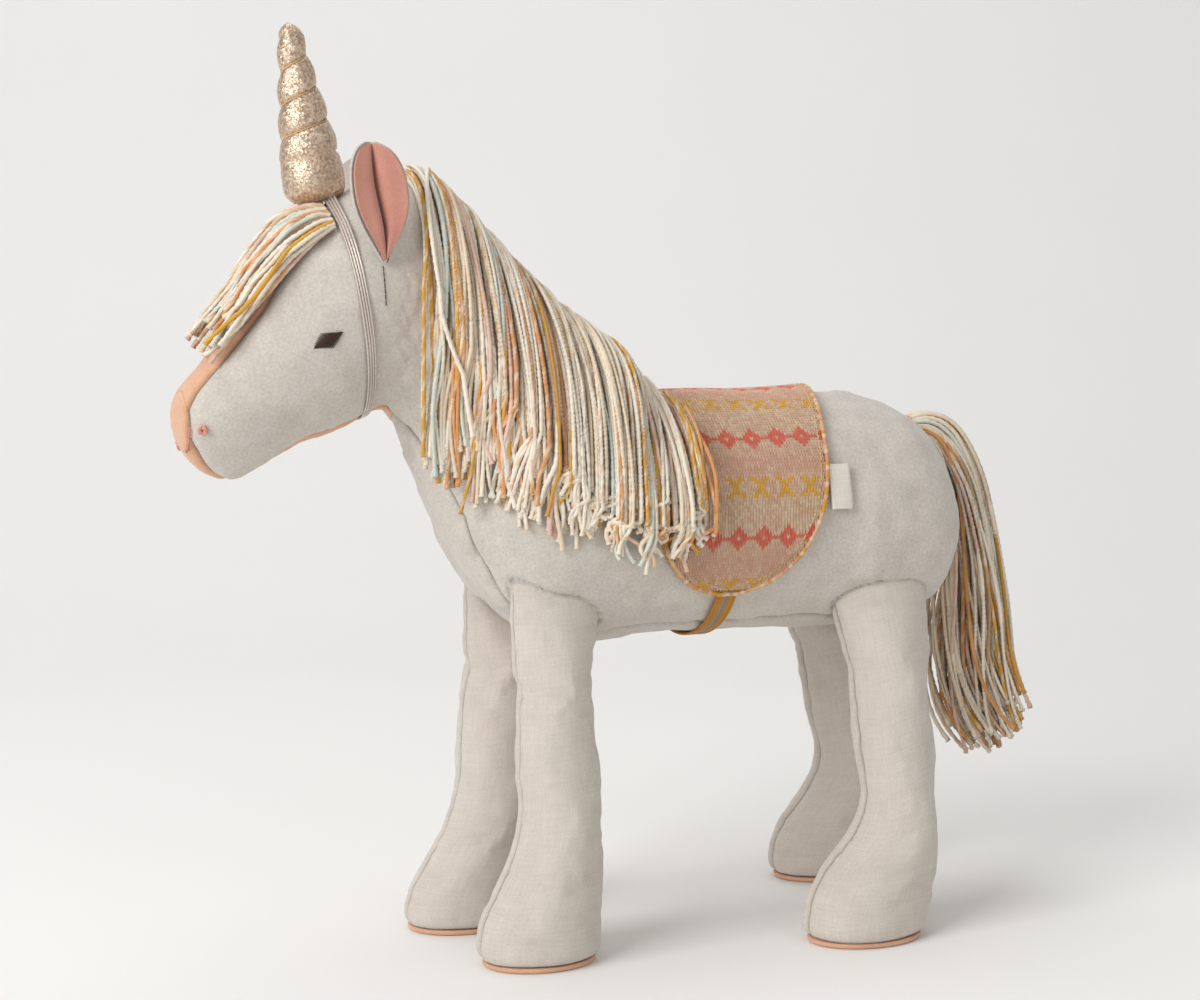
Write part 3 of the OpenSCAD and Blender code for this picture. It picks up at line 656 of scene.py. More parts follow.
    def find(self, test: Callable[[np.ndarray], np.ndarray], low: float, high: float,
             like: np.ndarray) -> np.ndarray:
        """Halve a range of values again and again, keeping the half in which a test changes.

        Args:
            test: Function that is true where the value sought is larger.
            low: Low end of the range.
            high: High end of the range.
            like: Array whose shape the result has.

        Returns:
            The value at which the test changes, for each place.
        """
        low, high = np.full(np.shape(like), float(low)), np.full(np.shape(like), float(high))
        for _ in range(16):
            middle = (low + high) / 2
            larger = test(middle)
            low, high = np.where(larger, middle, low), np.where(larger, high, middle)
        return (low + high) / 2

    def half_width_at(self, x: np.ndarray, z: np.ndarray) -> np.ndarray:
        """Half width of the body at a place in side view, from the station whose line passes through it."""
        def beyond(t: np.ndarray) -> np.ndarray:
            row = spline(self.table, t)
            return ((row[..., 0] - row[..., 2]) * (z - row[..., 3])
                    - (row[..., 1] - row[..., 3]) * (x - row[..., 2])) <= 0
        row = spline(self.table, self.find(beyond, 8, self.last - 4, x + z))
        reach = np.hypot(row[..., 0] - row[..., 2], row[..., 1] - row[..., 3]) / 2
        high = np.hypot(x - (row[..., 0] + row[..., 2]) / 2, z - (row[..., 1] + row[..., 3]) / 2) / reach
        return row[..., 4] * (1 - np.minimum(1, high) ** (2 / row[..., 5])) ** (row[..., 5] / 2)

    def line_at(self, x: np.ndarray, weights: tuple) -> np.ndarray:
        """Height of the crest (1, 0), the widest place (.5, .5) or the belly line (0, 1) above x."""
        top, low = weights
        def before(t: np.ndarray) -> np.ndarray:
            row = spline(self.table, t)
            return top * row[..., 0] + low * row[..., 2] <= x
        row = spline(self.table, self.find(before, 9, self.last - 4, x))
        return top * row[..., 1] + low * row[..., 3]

    def underside(self, x: np.ndarray, y: np.ndarray) -> np.ndarray:
        """Height of the body's underside above the place x, y."""
        low, high = self.line_at(x, (0, 1)), self.line_at(x, (0.5, 0.5))
        share = self.find(lambda s: self.half_width_at(x, low + (high - low) * s) < np.abs(y), 0, 1, x)
        return low + (high - low) * share

    def beside(self, t: float, phi: float, dx: np.ndarray, dz: np.ndarray, off: np.ndarray) -> np.ndarray:
        """Place on the left side that lies dx and dz mm away, seen from the side, from station t at phi.

        Args:
            t: Station of the middle.
            phi: Angle of the middle.
            dx: Distance towards the tail in mm.
            dz: Distance up in mm.
            off: Distance outside the cloth in mm.

        Returns:
            Points in mm.
        """
        here = self.point(t, phi)
        slope = np.stack([(self.point(t + 0.05, phi) - here)[[0, 2]] / 0.05,
                          (self.point(t, phi + 1) - here)[[0, 2]]], -1)
        dt, dphi = np.moveaxis(np.stack([dx, dz], -1) @ np.linalg.inv(slope).T, -1, 0)
        return self.point(t + dt, phi + dphi, off)


@dataclass
class Seams:
    """Lines along which the stuffed skin is pulled in.

    Args:
        line: Points along all seams in mm.
        depth: How far the skin is pulled in.
        width: How wide the groove is.
    """

    line: np.ndarray
    depth: float = 1.5
    width: float = 1.5

    def pull(self, points: np.ndarray) -> tuple[np.ndarray, np.ndarray]:
        """Groove and puckers: a bell-shaped dip along the line, and short waves that die out beside it.

        Args:
            points: Places in mm.

        Returns:
            How far out of the cloth each place lies, and how deep in the seam it is, 0 to 1.
        """
        flat = points.reshape(-1, 3)
        gap, order = np.empty(len(flat)), np.empty(len(flat))
        square = (self.line ** 2).sum(1)
        for start in range(0, len(flat), 4000):
            part = flat[start:start + 4000]
            away = square - 2 * part @ self.line.T
            nearest = away.argmin(1)
            squared = away[np.arange(len(part)), nearest] + (part ** 2).sum(1)
            gap[start:start + 4000] = np.sqrt(np.maximum(0, squared))
            order[start:start + 4000] = nearest
        gap, order = gap.reshape(points.shape[:-1]), order.reshape(points.shape[:-1])
        near = np.exp(-(gap / self.width) ** 2)
        waves = np.sin(order * 2 * np.pi / 9 + 2 * ripple(points, 30, 5)) * (1 - near) * np.exp(-gap / 5)
        shoulder = 0.5 * np.exp(-((gap - 5) / 4) ** 2)
        return -self.depth * near + 0.16 * waves + shoulder, np.exp(-(gap / (0.55 * self.width)) ** 2)


def seam_line(path: np.ndarray) -> np.ndarray:
    """Points 0.8 mm apart along a path."""
    gone = lengths(path[None], 1)[0]
    steps = np.arange(0, gone[-1], 0.8)
    return np.stack([np.interp(steps, gone, path[:, k]) for k in range(3)], -1)


def swell(points: np.ndarray, pinned: np.ndarray, cap: float, pressure: float = 4.0) -> np.ndarray:
    """Blow up a closed skin as cloth, held where it is sewn, and measure how far each point moved.

    Args:
        points: Wrapped grid of the skin in mm.
        pinned: 0 to 1 at each point, 1 where the skin is held.
        cap: Furthest that a point may move outward in mm.
        pressure: Pressure of the filling.
    """
    piece = make_piece("skin", [Patch(points, wrap=True, caps=True)], "linen")
    rows, cols = points.shape[:2]
    held = piece.vertex_groups.new(name="held")
    levels = np.round(np.concatenate([pinned.ravel(), [1, 1]]) * 10).astype(int)
    for level in range(1, 11):
        held.add(np.flatnonzero(levels == level).tolist(), level / 10, "REPLACE")
    cloth = piece.modifiers.new("cloth", "CLOTH")
    cloth.settings.quality = 6
    cloth.settings.mass = 0.3
    cloth.settings.tension_stiffness = 12
    cloth.settings.compression_stiffness = 12
    cloth.settings.bending_stiffness = 0.6
    cloth.settings.shrink_min = -0.03
    cloth.settings.use_pressure = True
    cloth.settings.uniform_pressure_force = pressure
    cloth.settings.vertex_group_mass = "held"
    cloth.settings.effector_weights.gravity = 0
    scene = bpy.context.scene
    for number in range(1, 21):
        scene.frame_set(number)
    mesh = piece.evaluated_get(bpy.context.evaluated_depsgraph_get()).to_mesh()
    after = np.empty(len(mesh.vertices) * 3, np.float32)
    mesh.vertices.foreach_get("co", after)
    moved = after.reshape(-1, 3)[:rows * cols].reshape(rows, cols, 3) / MM - points
    bpy.data.objects.remove(piece)
    scene.frame_set(1)
    across = grid_normals(np.concatenate([points[:, -1:], points, points[:, :1]], 1))[:, 1:-1]
    middle = points.mean(1, keepdims=True)
    across = across * np.sign(((points - middle) * across).sum(-1, keepdims=True))
    out = np.clip((moved * across).sum(-1, keepdims=True), -0.3, cap)
    return across * out


def read_grid(grid: np.ndarray, row: np.ndarray, col: np.ndarray) -> np.ndarray:
    """Read a wrapped grid between its points, in proportion to the distance from the four around."""
    rows, cols = grid.shape[:2]
    i = np.clip(np.floor(row).astype(int), 0, rows - 2)
    j = np.floor(col).astype(int)
    u, v = (row - i)[..., None], (col - j)[..., None]
    a, b = j % cols, (j + 1) % cols
    before = grid[i, a] * (1 - v) + grid[i, b] * v
    after = grid[i + 1, a] * (1 - v) + grid[i + 1, b] * v
    return before * (1 - u) + after * u


# ---------------------------------------------------------------- head, neck and barrel

@dataclass
class Torso:
    """The stuffed body: two sides, a belly gusset, a peach face gusset and a jaw gusset, sewn together."""

    form: BodyForm
    leg_seams: list
    cloth_t: float = 1.1
    fill_gap: float = 1.5

    def __post_init__(self) -> None:
        """Lay out the seams and let the skin swell between them."""
        form = self.form
        t = np.linspace(form.nose_end, form.last - 0.02, 500)
        arc = np.linspace(form.over(form.nose_end), form.under(form.nose_end), 60)
        left = [form.point(t, form.over(t)), form.point(t, form.under(t)), form.point(form.nose_end, arc)]
        lines = [seam_line(path) for path in left]
        lines += [line * (1, -1, 1) for line in lines]
        self.seams = Seams(np.concatenate(lines))
        self.joins = Seams(np.concatenate([seam_line(path) for path in self.leg_seams]), 0.5, 0.9)
        self.coarse = np.linspace(0.05, form.last - 0.3, 110)
        phi = np.arange(64) * 360 / 64
        skin = form.point(self.coarse[:, None], phi[None])
        held = self.seams.pull(skin)[1]
        ends = np.maximum(np.clip((10.5 - self.coarse) / 1.5, 0, 1), self.coarse > form.last - 1.5)
        self.moved = swell(skin, np.maximum(held, ends[:, None]), 2.4)

    def skin(self, t: np.ndarray, phi: np.ndarray) -> tuple[np.ndarray, np.ndarray]:
        """The finished skin: the form, pulled in at the seams, swollen and a little uneven, less so
        under the saddle pad.

        Args:
            t: Station of each point.
            phi: Angle of each point.

        Returns:
            Points in mm, and how deep in a seam each one is.
        """
        base = self.form.point(t, phi)
        off, seam = self.seams.pull(base)
        join_off, join = self.joins.pull(base)
        beside = np.clip((np.abs(base[..., 0] - 41) - 43) / 8, 0, 1)
        free = np.maximum(beside, np.clip((150 - base[..., 2]) / 12, 0, 1))
        off = off + join_off + (0.55 * ripple(base, 34, 1) + 0.22 * ripple(base, 13, 2)) * (0.3 + 0.7 * free)
        seam = np.maximum(seam, join)
        row = (t - self.coarse[0]) / (self.coarse[1] - self.coarse[0])
        moved = read_grid(self.moved, row, (phi % 360) * 64 / 360) * (0.6 * free)[..., None]
        return self.form.point(t, phi, off) + moved, seam

    def panel(self, name: str, slot: str, t: np.ndarray, low: np.ndarray, high: np.ndarray, cols: int,
              node: str) -> bpy.types.Object:
        """Cut one panel between two seam angles. One that ends at the rump comes to a point there.

        Args:
            name: Name of the piece.
            slot: Its material slot.
            t: Stations of the rows.
            low: Angle at the first column of each row.
            high: Angle at the last column of each row.
            cols: How many columns.
            node: CAD node that it stands for.

        Returns:
            The panel.
        """
        phi = low[:, None] + (high - low)[:, None] * close_at_edges(cols)
        points, seam = self.skin(np.broadcast_to(t[:, None], phi.shape), phi)
        if t[-1] > self.form.last - 0.1:
            points[-1] = points[-1].mean(0) * (1, 0, 1)
        return self.dress(make_piece(name, [Patch(points, seam=seam)], slot, self.cloth_t), node)

    def dress(self, piece: bpy.types.Object, node: str) -> bpy.types.Object:
        """Let a stuffed piece ride on the torso and stand for its CAD node."""
        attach(piece, "torso")
        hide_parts(node)
        return piece

    def build(self) -> None:
        """Make the panels, the filling and what is sewn on the face."""
        form = self.form
        t = np.concatenate([form.even_steps(form.nose_end, 2, 14)[:-1],
                            form.even_steps(2, form.last - 0.02, 330)])
        self.panel("body_side_left_skin", "brushed_cotton", t, form.over(t), form.under(t), 112,
                   "body_side_left")
        self.panel("body_side_right_skin", "brushed_cotton", t, -form.under(t), -form.over(t), 112,
                   "body_side_right")
        t = form.even_steps(10.2, form.last - 0.02, 260)
        self.panel("belly_gusset_skin", "brushed_cotton", t, form.under(t), 360 - form.under(t), 44,
                   "belly_gusset")
        t = form.even_steps(4.6, 10.2, 90)
        self.panel("jaw_gusset_skin", "peach_cotton", t, form.under(t), 360 - form.under(t), 24, "jaw_gusset")
        self.face()
        t, phi = form.even_steps(0.1, form.last - 0.3, 70)[:, None], np.arange(28)[None] * 360 / 28
        inside = form.point(t, phi, -self.cloth_t - self.fill_gap + 0.5 * ripple(form.point(t, phi), 16, 3))
        self.dress(make_piece("body_fibre_filling", [Patch(inside, wrap=True, caps=True)], "fibre_filling"),
                   "body_filling")

    def face(self) -> None:
        """The peach gusset over the forehead, round the nose and under the chin, in one piece."""
        form = self.form
        t, phi = np.meshgrid(np.linspace(0, 1, 26) ** 1.3 * form.nose_end, np.arange(120) * 3.0,
                             indexing="ij")
        cap, cap_seam = self.skin(t, phi)
        patches = [Patch(cap, wrap=True, seam=cap_seam)]
        tip = cap[0].mean(0)
        patches.append(Patch(tip + (cap[0] - tip) * np.linspace(0.02, 1, 4)[:, None, None], wrap=True))
        for end, middle in ((8.0, 0), (3.85, 180)):
            t = form.even_steps(form.nose_end, end, 110 if middle == 0 else 36)
            half = form.over(t) if middle == 0 else 180 - form.under(t)
            phi = middle + half[:, None] * (2 * close_at_edges(42) - 1)
            points, seam = self.skin(np.broadcast_to(t[:, None], phi.shape), phi)
            patches.append(Patch(points, seam=seam))
        self.dress(make_piece("face_gusset_skin", patches, "peach_cotton", self.cloth_t), "face_gusset")


@dataclass
class FaceStitches:
    """Embroidery: dark lozenge eyes, pink knots at the nostrils and pink stitches along the mouth."""

    form: BodyForm
    eye_t: float = 6.6
    eye_phi: float = 92.5
    eye_long: float = 6.4
    eye_wide: float = 3.3
    thread_r: float = 0.34

    def mirrored(self, name: str, threads: np.ndarray, slot: str, node: str, both: bool) -> None:
        """Make threads on the left side, the right side or both.

        Args:
            name: Name of the piece, which _left and _right are added to when it isn't for both sides.
            threads: Tubes of the left side.
            slot: Material slot.
            node: CAD node, named in the same way.
            both: True where one piece holds both sides.
        """
        left = [Patch(thread, wrap=True, caps=True) for thread in threads]
        right = [Patch(thread * (1, -1, 1), wrap=True, caps=True, flip=True) for thread in threads]
        sides = {"": left + right} if both else {"_left": left, "_right": right}
        for end, patches in sides.items():
            piece = make_piece(name + end, patches, slot)
            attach(piece, "torso")
            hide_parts(node + end)

    def build(self) -> None:
        """Make eyes, knots and mouth."""
        self.eyes()
        self.knots()
        self.mouth()
        self.darts()

    def eyes(self) -> None:
        """Satin stitches across a lozenge that rises towards the ear."""
        rise = np.radians(31)
        place, across = np.meshgrid(np.linspace(-0.96, 0.96, 21), np.linspace(-1, 1, 9), indexing="ij")
        half = self.eye_wide * (1 - np.abs(place) ** 1.1) + 0.2
        along = place * self.eye_long - 0.7 * across
        up = across * half
        dx = along * np.cos(rise) - up * np.sin(rise)
        dz = along * np.sin(rise) + up * np.cos(rise)
        off = 0.25 + 0.75 * (1 - across ** 2) * (1 - place ** 2)
        paths = self.form.beside(self.eye_t, self.eye_phi, dx, dz, off)
        radius = self.thread_r * (1 - 0.4 * across ** 2)
        self.mirrored("eye_stitches", tubes(paths, radius, np.array([1.0, 0, 0.3]), 6, 2.4, 2, 0.12),
                      "brown_thread", "eye", False)

    def darts(self) -> None:
        """Small stitches that close the dart under each ear, in one line down the cheek."""
        start = np.arange(7)[:, None] / 7
        u = start + np.linspace(0, 0.12, 6)[None]
        paths = self.form.point(8.82 - 0.1 * u, 73 + 20 * u, 0.45 + 0.2 * np.sin(np.pi * (u - start) / 0.12))
        threads = tubes(paths, 0.2, np.array([1.0, 0.1, 0.1]), 5)
        both = [Patch(t, wrap=True, caps=True) for t in threads]
        both += [Patch(t * (1, -1, 1), wrap=True, caps=True, flip=True) for t in threads]
        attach(make_piece("ear_dart_stitches", both, "brown_thread"), "torso")

    def knots(self) -> None:
        """A knot of thread at each nostril: a small ball wound in three directions."""
        around = np.linspace(0, 2 * np.pi, 40)
        tilt = np.radians([0, 35, 70, 110, 150])[:, None]
        size = 1.15
        dx = size * np.cos(around) * np.cos(tilt) - 0.7 * size * np.sin(around) * np.sin(tilt)
        dz = size * np.cos(around) * np.sin(tilt) + 0.7 * size * np.sin(around) * np.cos(tilt)
        off = 1.0 + 0.9 * np.sin(around * 2 + 3 * tilt) + 0 * dx
        paths = self.form.beside(2.3, 100, dx, dz, off)
        self.mirrored("nostril_thread_knots", tubes(paths, 0.72, np.array([0.2, 1.0, 0.1]), 6, 2.6, 2, 0.15),
                      "pink_thread", "nostril_knots", True)

    def mouth(self) -> None:
        """Short stitches that follow each other along the mouth, each one arched over the cloth."""
        start = np.arange(7)[:, None]
        u = np.linspace(0, 1, 8)
        t = 1.38 + 0.03 * np.sin(3 * start) + 0.1 * u
        phi = 98 + 8.0 * (start + 0.8 * u)
        paths = self.form.point(t, phi, 0.15 + 0.55 * np.sin(np.pi * u) + 0 * t)
        self.mirrored("mouth_thread_stitches", tubes(paths, 0.42, np.array([1.0, 0.1, 0.1]), 6, 2.4, 2, 0.15),
                      "pink_thread", "mouth_stitches", True)


# ---------------------------------------------------------------- legs

class Corner(Enum):
    """The four legs: number in the frame's order, CAD name and side."""

    FRONT_LEFT = (0, "front_left", 1)
    FRONT_RIGHT = (1, "front_right", -1)
    REAR_LEFT = (2, "rear_left", 1)
    REAR_RIGHT = (3, "rear_right", -1)


@dataclass
class Leg:
    """A stuffed leg of two linen panels with a peach sole, sewn under the barrel."""

    form: BodyForm
    corner: Corner
    shank_half: float = 17
    leg_y: float = 33
    hip_z: float = 138
    cloth_t: float = 1.1
    seam_half: float = 9
    FRONT = ((2.5, -74, -27, 1.03), (8, -75.5, -25.5, 1.08), (18, -74, -25, 1.08), (31, -68, -25, 1.05),
             (46, -61.5, -25.5, 1.02), (63, -58.5, -26.5, 1), (80, -59.3, -27.7, 1),
             (101, -59.5, -29.2, 1.02),
             (112, -58.5, -30, 1.02), (121, -61, -30, 0.98))
    REAR = ((2.5, 71.5, 122, 1.03), (8, 69.5, 124.5, 1.08), (18, 71.5, 126.5, 1.08), (28, 77.5, 127.5, 1.05),
            (38, 86.5, 128, 1.03), (48, 93.5, 128, 1), (60, 97, 127, 1), (80, 94.5, 126, 1),
            (101, 92, 124, 1.02),
            (112, 90.5, 123.5, 1.02), (121, 87, 124, 0.98))
    STANCE = ((0, -1, 0), (2, -14, -3), (0, -9, 18), (6, 25, 18))
    SEAM_X = ((-63, -26), (81, 124.5))

    def __post_init__(self) -> None:
        """Work out the rings, the seams and the swollen skin of the left-hand leg."""
        self.number, self.name, self.side = self.corner.value
        self.outline = np.array(self.FRONT if self.number < 2 else self.REAR, float)
        self.sides = 120
        self.rings = self.all_rings(0.0)
        top, foot = self.rings[-1], self.rings[0]
        fore, aft = self.rings[:, self.sides // 2], self.rings[:, 0]
        closed = [np.concatenate([ring, ring[:1]]) for ring in (top, foot)]
        steps = np.linspace(0, len(self.rings) - 1, 200)
        self.seams = Seams(np.concatenate([seam_line(path) for path in (*closed, spline(fore, steps),
                                                                        spline(aft, steps))]), 1.0, 1.3)
        rows = np.linspace(0, len(self.rings) - 1, 44)
        coarse = spline(self.rings[:, ::4].reshape(len(self.rings), -1), rows).reshape(44, self.sides // 4, 3)
        held = np.maximum(self.seams.pull(coarse)[1], ((rows < 0.2) | (rows > rows[-1] - 0.9))[:, None])
        self.moved = swell(coarse[:, ::-1], held[:, ::-1], 2.6)[:, ::-1]

    def all_rings(self, inset: float) -> np.ndarray:
        """Ovals from foot to hip. Each is carried forward and outward in proportion to how far down it
        is, and the last follows the underside of the barrel.

        Args:
            inset: How far inside the skin, in mm.

        Returns:
            Rings, points and x, y, z.
        """
        dx_hip, dx_foot, spread = self.STANCE[self.number]
        around = np.arange(self.sides) * 2 * np.pi / self.sides
        z, front, rear, share = (self.outline[:, k, None] for k in range(4))
        low = 1 - z / self.hip_z
        x = (front + rear) / 2 + dx_hip + (dx_foot - dx_hip) * low
        x = x + ((rear - front) / 2 - inset) * np.cos(around)
        y = -self.leg_y - spread * low - (share * self.shank_half - inset) * np.sin(around)
        rings = np.stack([x, y, z + 0 * x], -1)
        front, rear = self.SEAM_X[self.number // 2]
        x = (front + rear) / 2 + dx_hip + ((rear - front) / 2 - inset) * np.cos(around)
        y = -self.leg_y - (self.seam_half - inset) * np.sin(around)
        top = np.stack([x, y, self.form.underside(x, y) + 0.2 - inset], -1)
        between = rings[-1] * 0.4 + top * 0.6
        return np.concatenate([rings, between[None], top[None]])

    def skin(self) -> tuple[np.ndarray, np.ndarray]:
        """The finished skin: rings joined smoothly, pulled in at the seams, swollen and uneven.

        Returns:
            Wrapped grid of points in mm, and how deep in a seam each one is.
        """
        last = len(self.rings) - 1
        rows = close_at_edges(150) * last
        base = spline(self.rings.reshape(last + 1, -1), rows).reshape(150, self.sides, 3)
        wide = np.concatenate([base[:, -1:], base, base[:, :1]], 1)
        out = -grid_normals(wide)[:, 1:-1]
        off, seam = self.seams.pull(base)
        seed = 20 + self.number
        top = np.clip((rows - last + 2) / 2, 0, 1)[:, None]
        folds = 0.5 * ripple(base, 34, seed) + 0.13 * ripple(base * (1, 1, 1.7), 15, seed + 9)
        off = off + folds * (1 - top)
        off = off + 0.2 * ripple(base * (0.6, 0.6, 2.2), 12, seed + 5) * top * (1 - seam)
        row, col = np.meshgrid(rows * 43 / last, np.arange(self.sides) / 4, indexing="ij")
        return base + out * off[..., None] + 0.7 * read_grid(self.moved, row, col), seam

    def sole(self) -> np.ndarray:
        """Sole pad: rings shrunk towards their middle, flat below with a rounded edge.

        Returns:
            Wrapped grid that starts and ends in the middle.
        """
        ring = self.rings[0]
        middle = ring.mean(0)
        share = np.array([0.02, 0.2, 0.4, 0.6, 0.8, 0.92, 0.975, 1.0, 1.005, 1.0, 0.97, 0.7, 0.35, 0.02])
        z = np.array([0, 0, 0, 0, 0, 0.08, 0.35, 0.9, 1.6, 2.2, 2.35, 2.3, 2.3, 2.3])
        points = middle + (ring - middle) * share[:, None, None]
        points[..., 2] = z[:, None]
        return points

    def place(self, points: np.ndarray) -> np.ndarray:
        """Mirror a leg's points to its own side of the body."""
        return points * (1, self.side, 1)

    def build(self) -> None:
        """Make the cover, the sole and the filling."""
        body = f"leg_{self.name}"
        points, seam = self.skin()
        cover = make_piece(f"{body}_linen_cover",
                           [Patch(self.place(points), wrap=True, flip=self.side > 0, seam=seam)], "linen",
                           self.cloth_t)
        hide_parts(f"leg_cover_{self.name}")
        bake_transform(cover)
        sole = make_piece(f"{body}_peach_sole",
                          [Patch(self.place(self.sole()), wrap=True, caps=True, flip=self.side > 0)],
                          "peach_cotton")
        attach(sole, body)
        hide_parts(f"sole_pad_{self.name}")
        inside = self.all_rings(self.cloth_t + 0.9)[:-2, ::4]
        steps = np.linspace(0, len(inside) - 1, 26)
        inside = spline(inside.reshape(len(inside), -1), steps).reshape(26, -1, 3)
        filling = make_piece(f"{body}_fibre_filling",
                             [Patch(self.place(inside), wrap=True, caps=True, flip=self.side > 0)],
                             "fibre_filling")
        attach(filling, body)
        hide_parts(f"leg_filling_{self.name}")


# ---------------------------------------------------------------- horn and its elastic

@dataclass
class Horn:
    """A stuffed horn of foil cloth, bound with thread that winds up it, on a ribbed elastic."""

    form: BodyForm
    height: float = 70
    radius: float = 12.2
    lean: float = 9
    turns: float = 3.5
    PROFILE = ((0, 0.70), (0.06, 0.98), (0.17, 1), (0.35, 0.86), (0.56, 0.68), (0.77, 0.49), (0.92, 0.38),
               (0.97, 0.26), (1.0, 0.02))
    wound: tuple[float, float] = (0.27, 0.65)

    def __post_init__(self) -> None:
        """Find the horn's foot on the head."""
        self.foot = self.form.point(7.6, 0) + (0, 0, 4)

    def place(self, points: np.ndarray) -> np.ndarray:
        """Lean points of the upright horn towards the nose and put them on the head."""
        a = np.radians(self.lean)
        x, y, z = np.moveaxis(points, -1, 0)
        return np.stack([x * np.cos(a) - z * np.sin(a), y, x * np.sin(a) + z * np.cos(a)], -1) + self.foot

    def radius_at(self, share: np.ndarray) -> np.ndarray:
        """Radius of the horn at a share of its height, a smooth curve through the profile."""
        heights, radii = np.array(self.PROFILE).T
        fine = np.linspace(0, len(heights) - 1, 200)
        curve = spline(np.stack([heights, radii], -1), fine)
        return np.interp(share, curve[:, 0], np.maximum(0.02, curve[:, 1])) * self.radius

    def cover(self) -> tuple[np.ndarray, np.ndarray]:
        """The foil skin: round, swollen between the turns of the thread and drawn in under each turn,
        with small gathers round the hem.

        Returns:
            Wrapped grid in mm, and how deep in a groove each point is.
        """
        share, around = np.meshgrid(close_at_edges(190), np.arange(96) * 2 * np.pi / 96, indexing="ij")
        start, length = self.wound
        phase = (share - start) / length * self.turns - around / (2 * np.pi)
        inside = np.clip((share - start + 0.06) / 0.06, 0, 1)
        inside = inside * np.clip((start + length + 0.05 - share) / 0.05, 0, 1)
        wave = np.abs(np.sin(np.pi * phase))
        groove = np.exp(-(wave / 0.13) ** 2) * inside
        r = self.radius_at(share)
        bulge = (1.35 * wave ** 0.7 - 0.6) * inside * np.minimum(1, r / 6)
        hem = np.exp(-(share / 0.035) ** 2) * 0.45 * np.cos(around * 17 + 2 * np.sin(around * 3))
        x, y = np.cos(around), np.sin(around)
        spot = np.stack([x * 9, y * 9, share * self.height], -1)
        r = r + bulge - 0.7 * groove + hem + 0.3 * ripple(spot, 9, 40) * np.minimum(1, r / 6)
        points = np.stack([r * x, r * y, share * self.height], -1)
        return self.place(points), 0.6 * groove

    def build(self) -> None:
        """Make the cover, its filling, the thread and the elastic."""
        points, seam = self.cover()
        cover = make_piece("horn_foil_cover", [Patch(points, wrap=True, caps=True, seam=seam)],
                           "metallic_cloth")
        inside, _ = np.meshgrid(np.linspace(0.03, 0.97, 24), np.arange(18), indexing="ij")
        angle = np.arange(18) * 2 * np.pi / 18
        r = np.maximum(0.3, self.radius_at(inside) - 1.4)
        filling = make_piece("horn_fibre_filling", [Patch(self.place(np.stack(
            [r * np.cos(angle), r * np.sin(angle), inside * self.height], -1)), wrap=True, caps=True)],
            "fibre_filling")
        turn = np.linspace(0, self.turns, 420)[None]
        share = self.wound[0] + self.wound[1] * turn / self.turns
        r = self.radius_at(share) - 0.75
        path = self.place(np.stack([r * np.cos(2 * np.pi * turn), r * np.sin(2 * np.pi * turn),
                                    share * self.height], -1))
        thread = make_piece("horn_gold_binding", [Patch(
            tubes(path, 0.3, np.array([-0.156, 0.0, 0.988]), 6, 1.8, 2, 0.15)[0], wrap=True, caps=True)],
            "gold_thread")
        for piece, node in ((cover, "horn_cover"), (filling, "horn_filling"), (thread, "horn_thread")):
            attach(piece, "horn")
            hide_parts(node)
        self.elastic()

    def elastic(self) -> None:
        """Ribbed elastic from the horn's foot down the cheek, under the jaw and up the other side, closed
        all round with rounded ribs on its outer face and copper dashes between them."""
        width, ribs = 4.4, 4
        station = width / np.linalg.norm(self.form.point(8.4, 90) - self.form.point(7.4, 90))
        face = np.linspace(0, 1, 4 * ribs + 1)
        rib = np.abs(np.sin(np.pi * ribs * face)) ** 0.6
        off = np.concatenate([0.45 + 0.55 * rib, [0.3, 0.3]])
        share = np.concatenate([face, [0.98, 0.02]])
        phi = np.linspace(7, 353, 420)[:, None]
        sag = 0.35 * ripple(np.concatenate([phi * 0.6, phi * 0, phi * 0], 1), 26, 51)[:, None]
        gap = 0.5 + 2.6 * np.exp(-((np.abs(phi - 180) - 173) / 13) ** 2)
        points = self.form.point(7.75 + station * share + 0.02 * sag, phi, off + gap)
        silver, copper, white = (np.array(linear(code)[:3]) for code in ("#a99c93", "#8d644c", "#ddd5ce"))
        dash = np.sin(np.arange(len(phi)) * 2.1)[:, None] > 0.1
        hollow = (np.concatenate([rib, [0, 0]]) < 0.75)[None]
        dye = np.where(hollow[..., None], silver, white) * np.ones((len(phi), 1, 1))
        middle = (np.abs(share - 0.5) < 0.3)[None]
        dye = np.where((dash & hollow & middle)[..., None], copper, dye)
        band = make_piece("horn_ribbed_elastic", [Patch(points, wrap=True, caps=True, dye=dye)],
                          "silver_elastic")
        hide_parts("horn_elastic")
        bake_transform(band)


# ---------------------------------------------------------------- ears

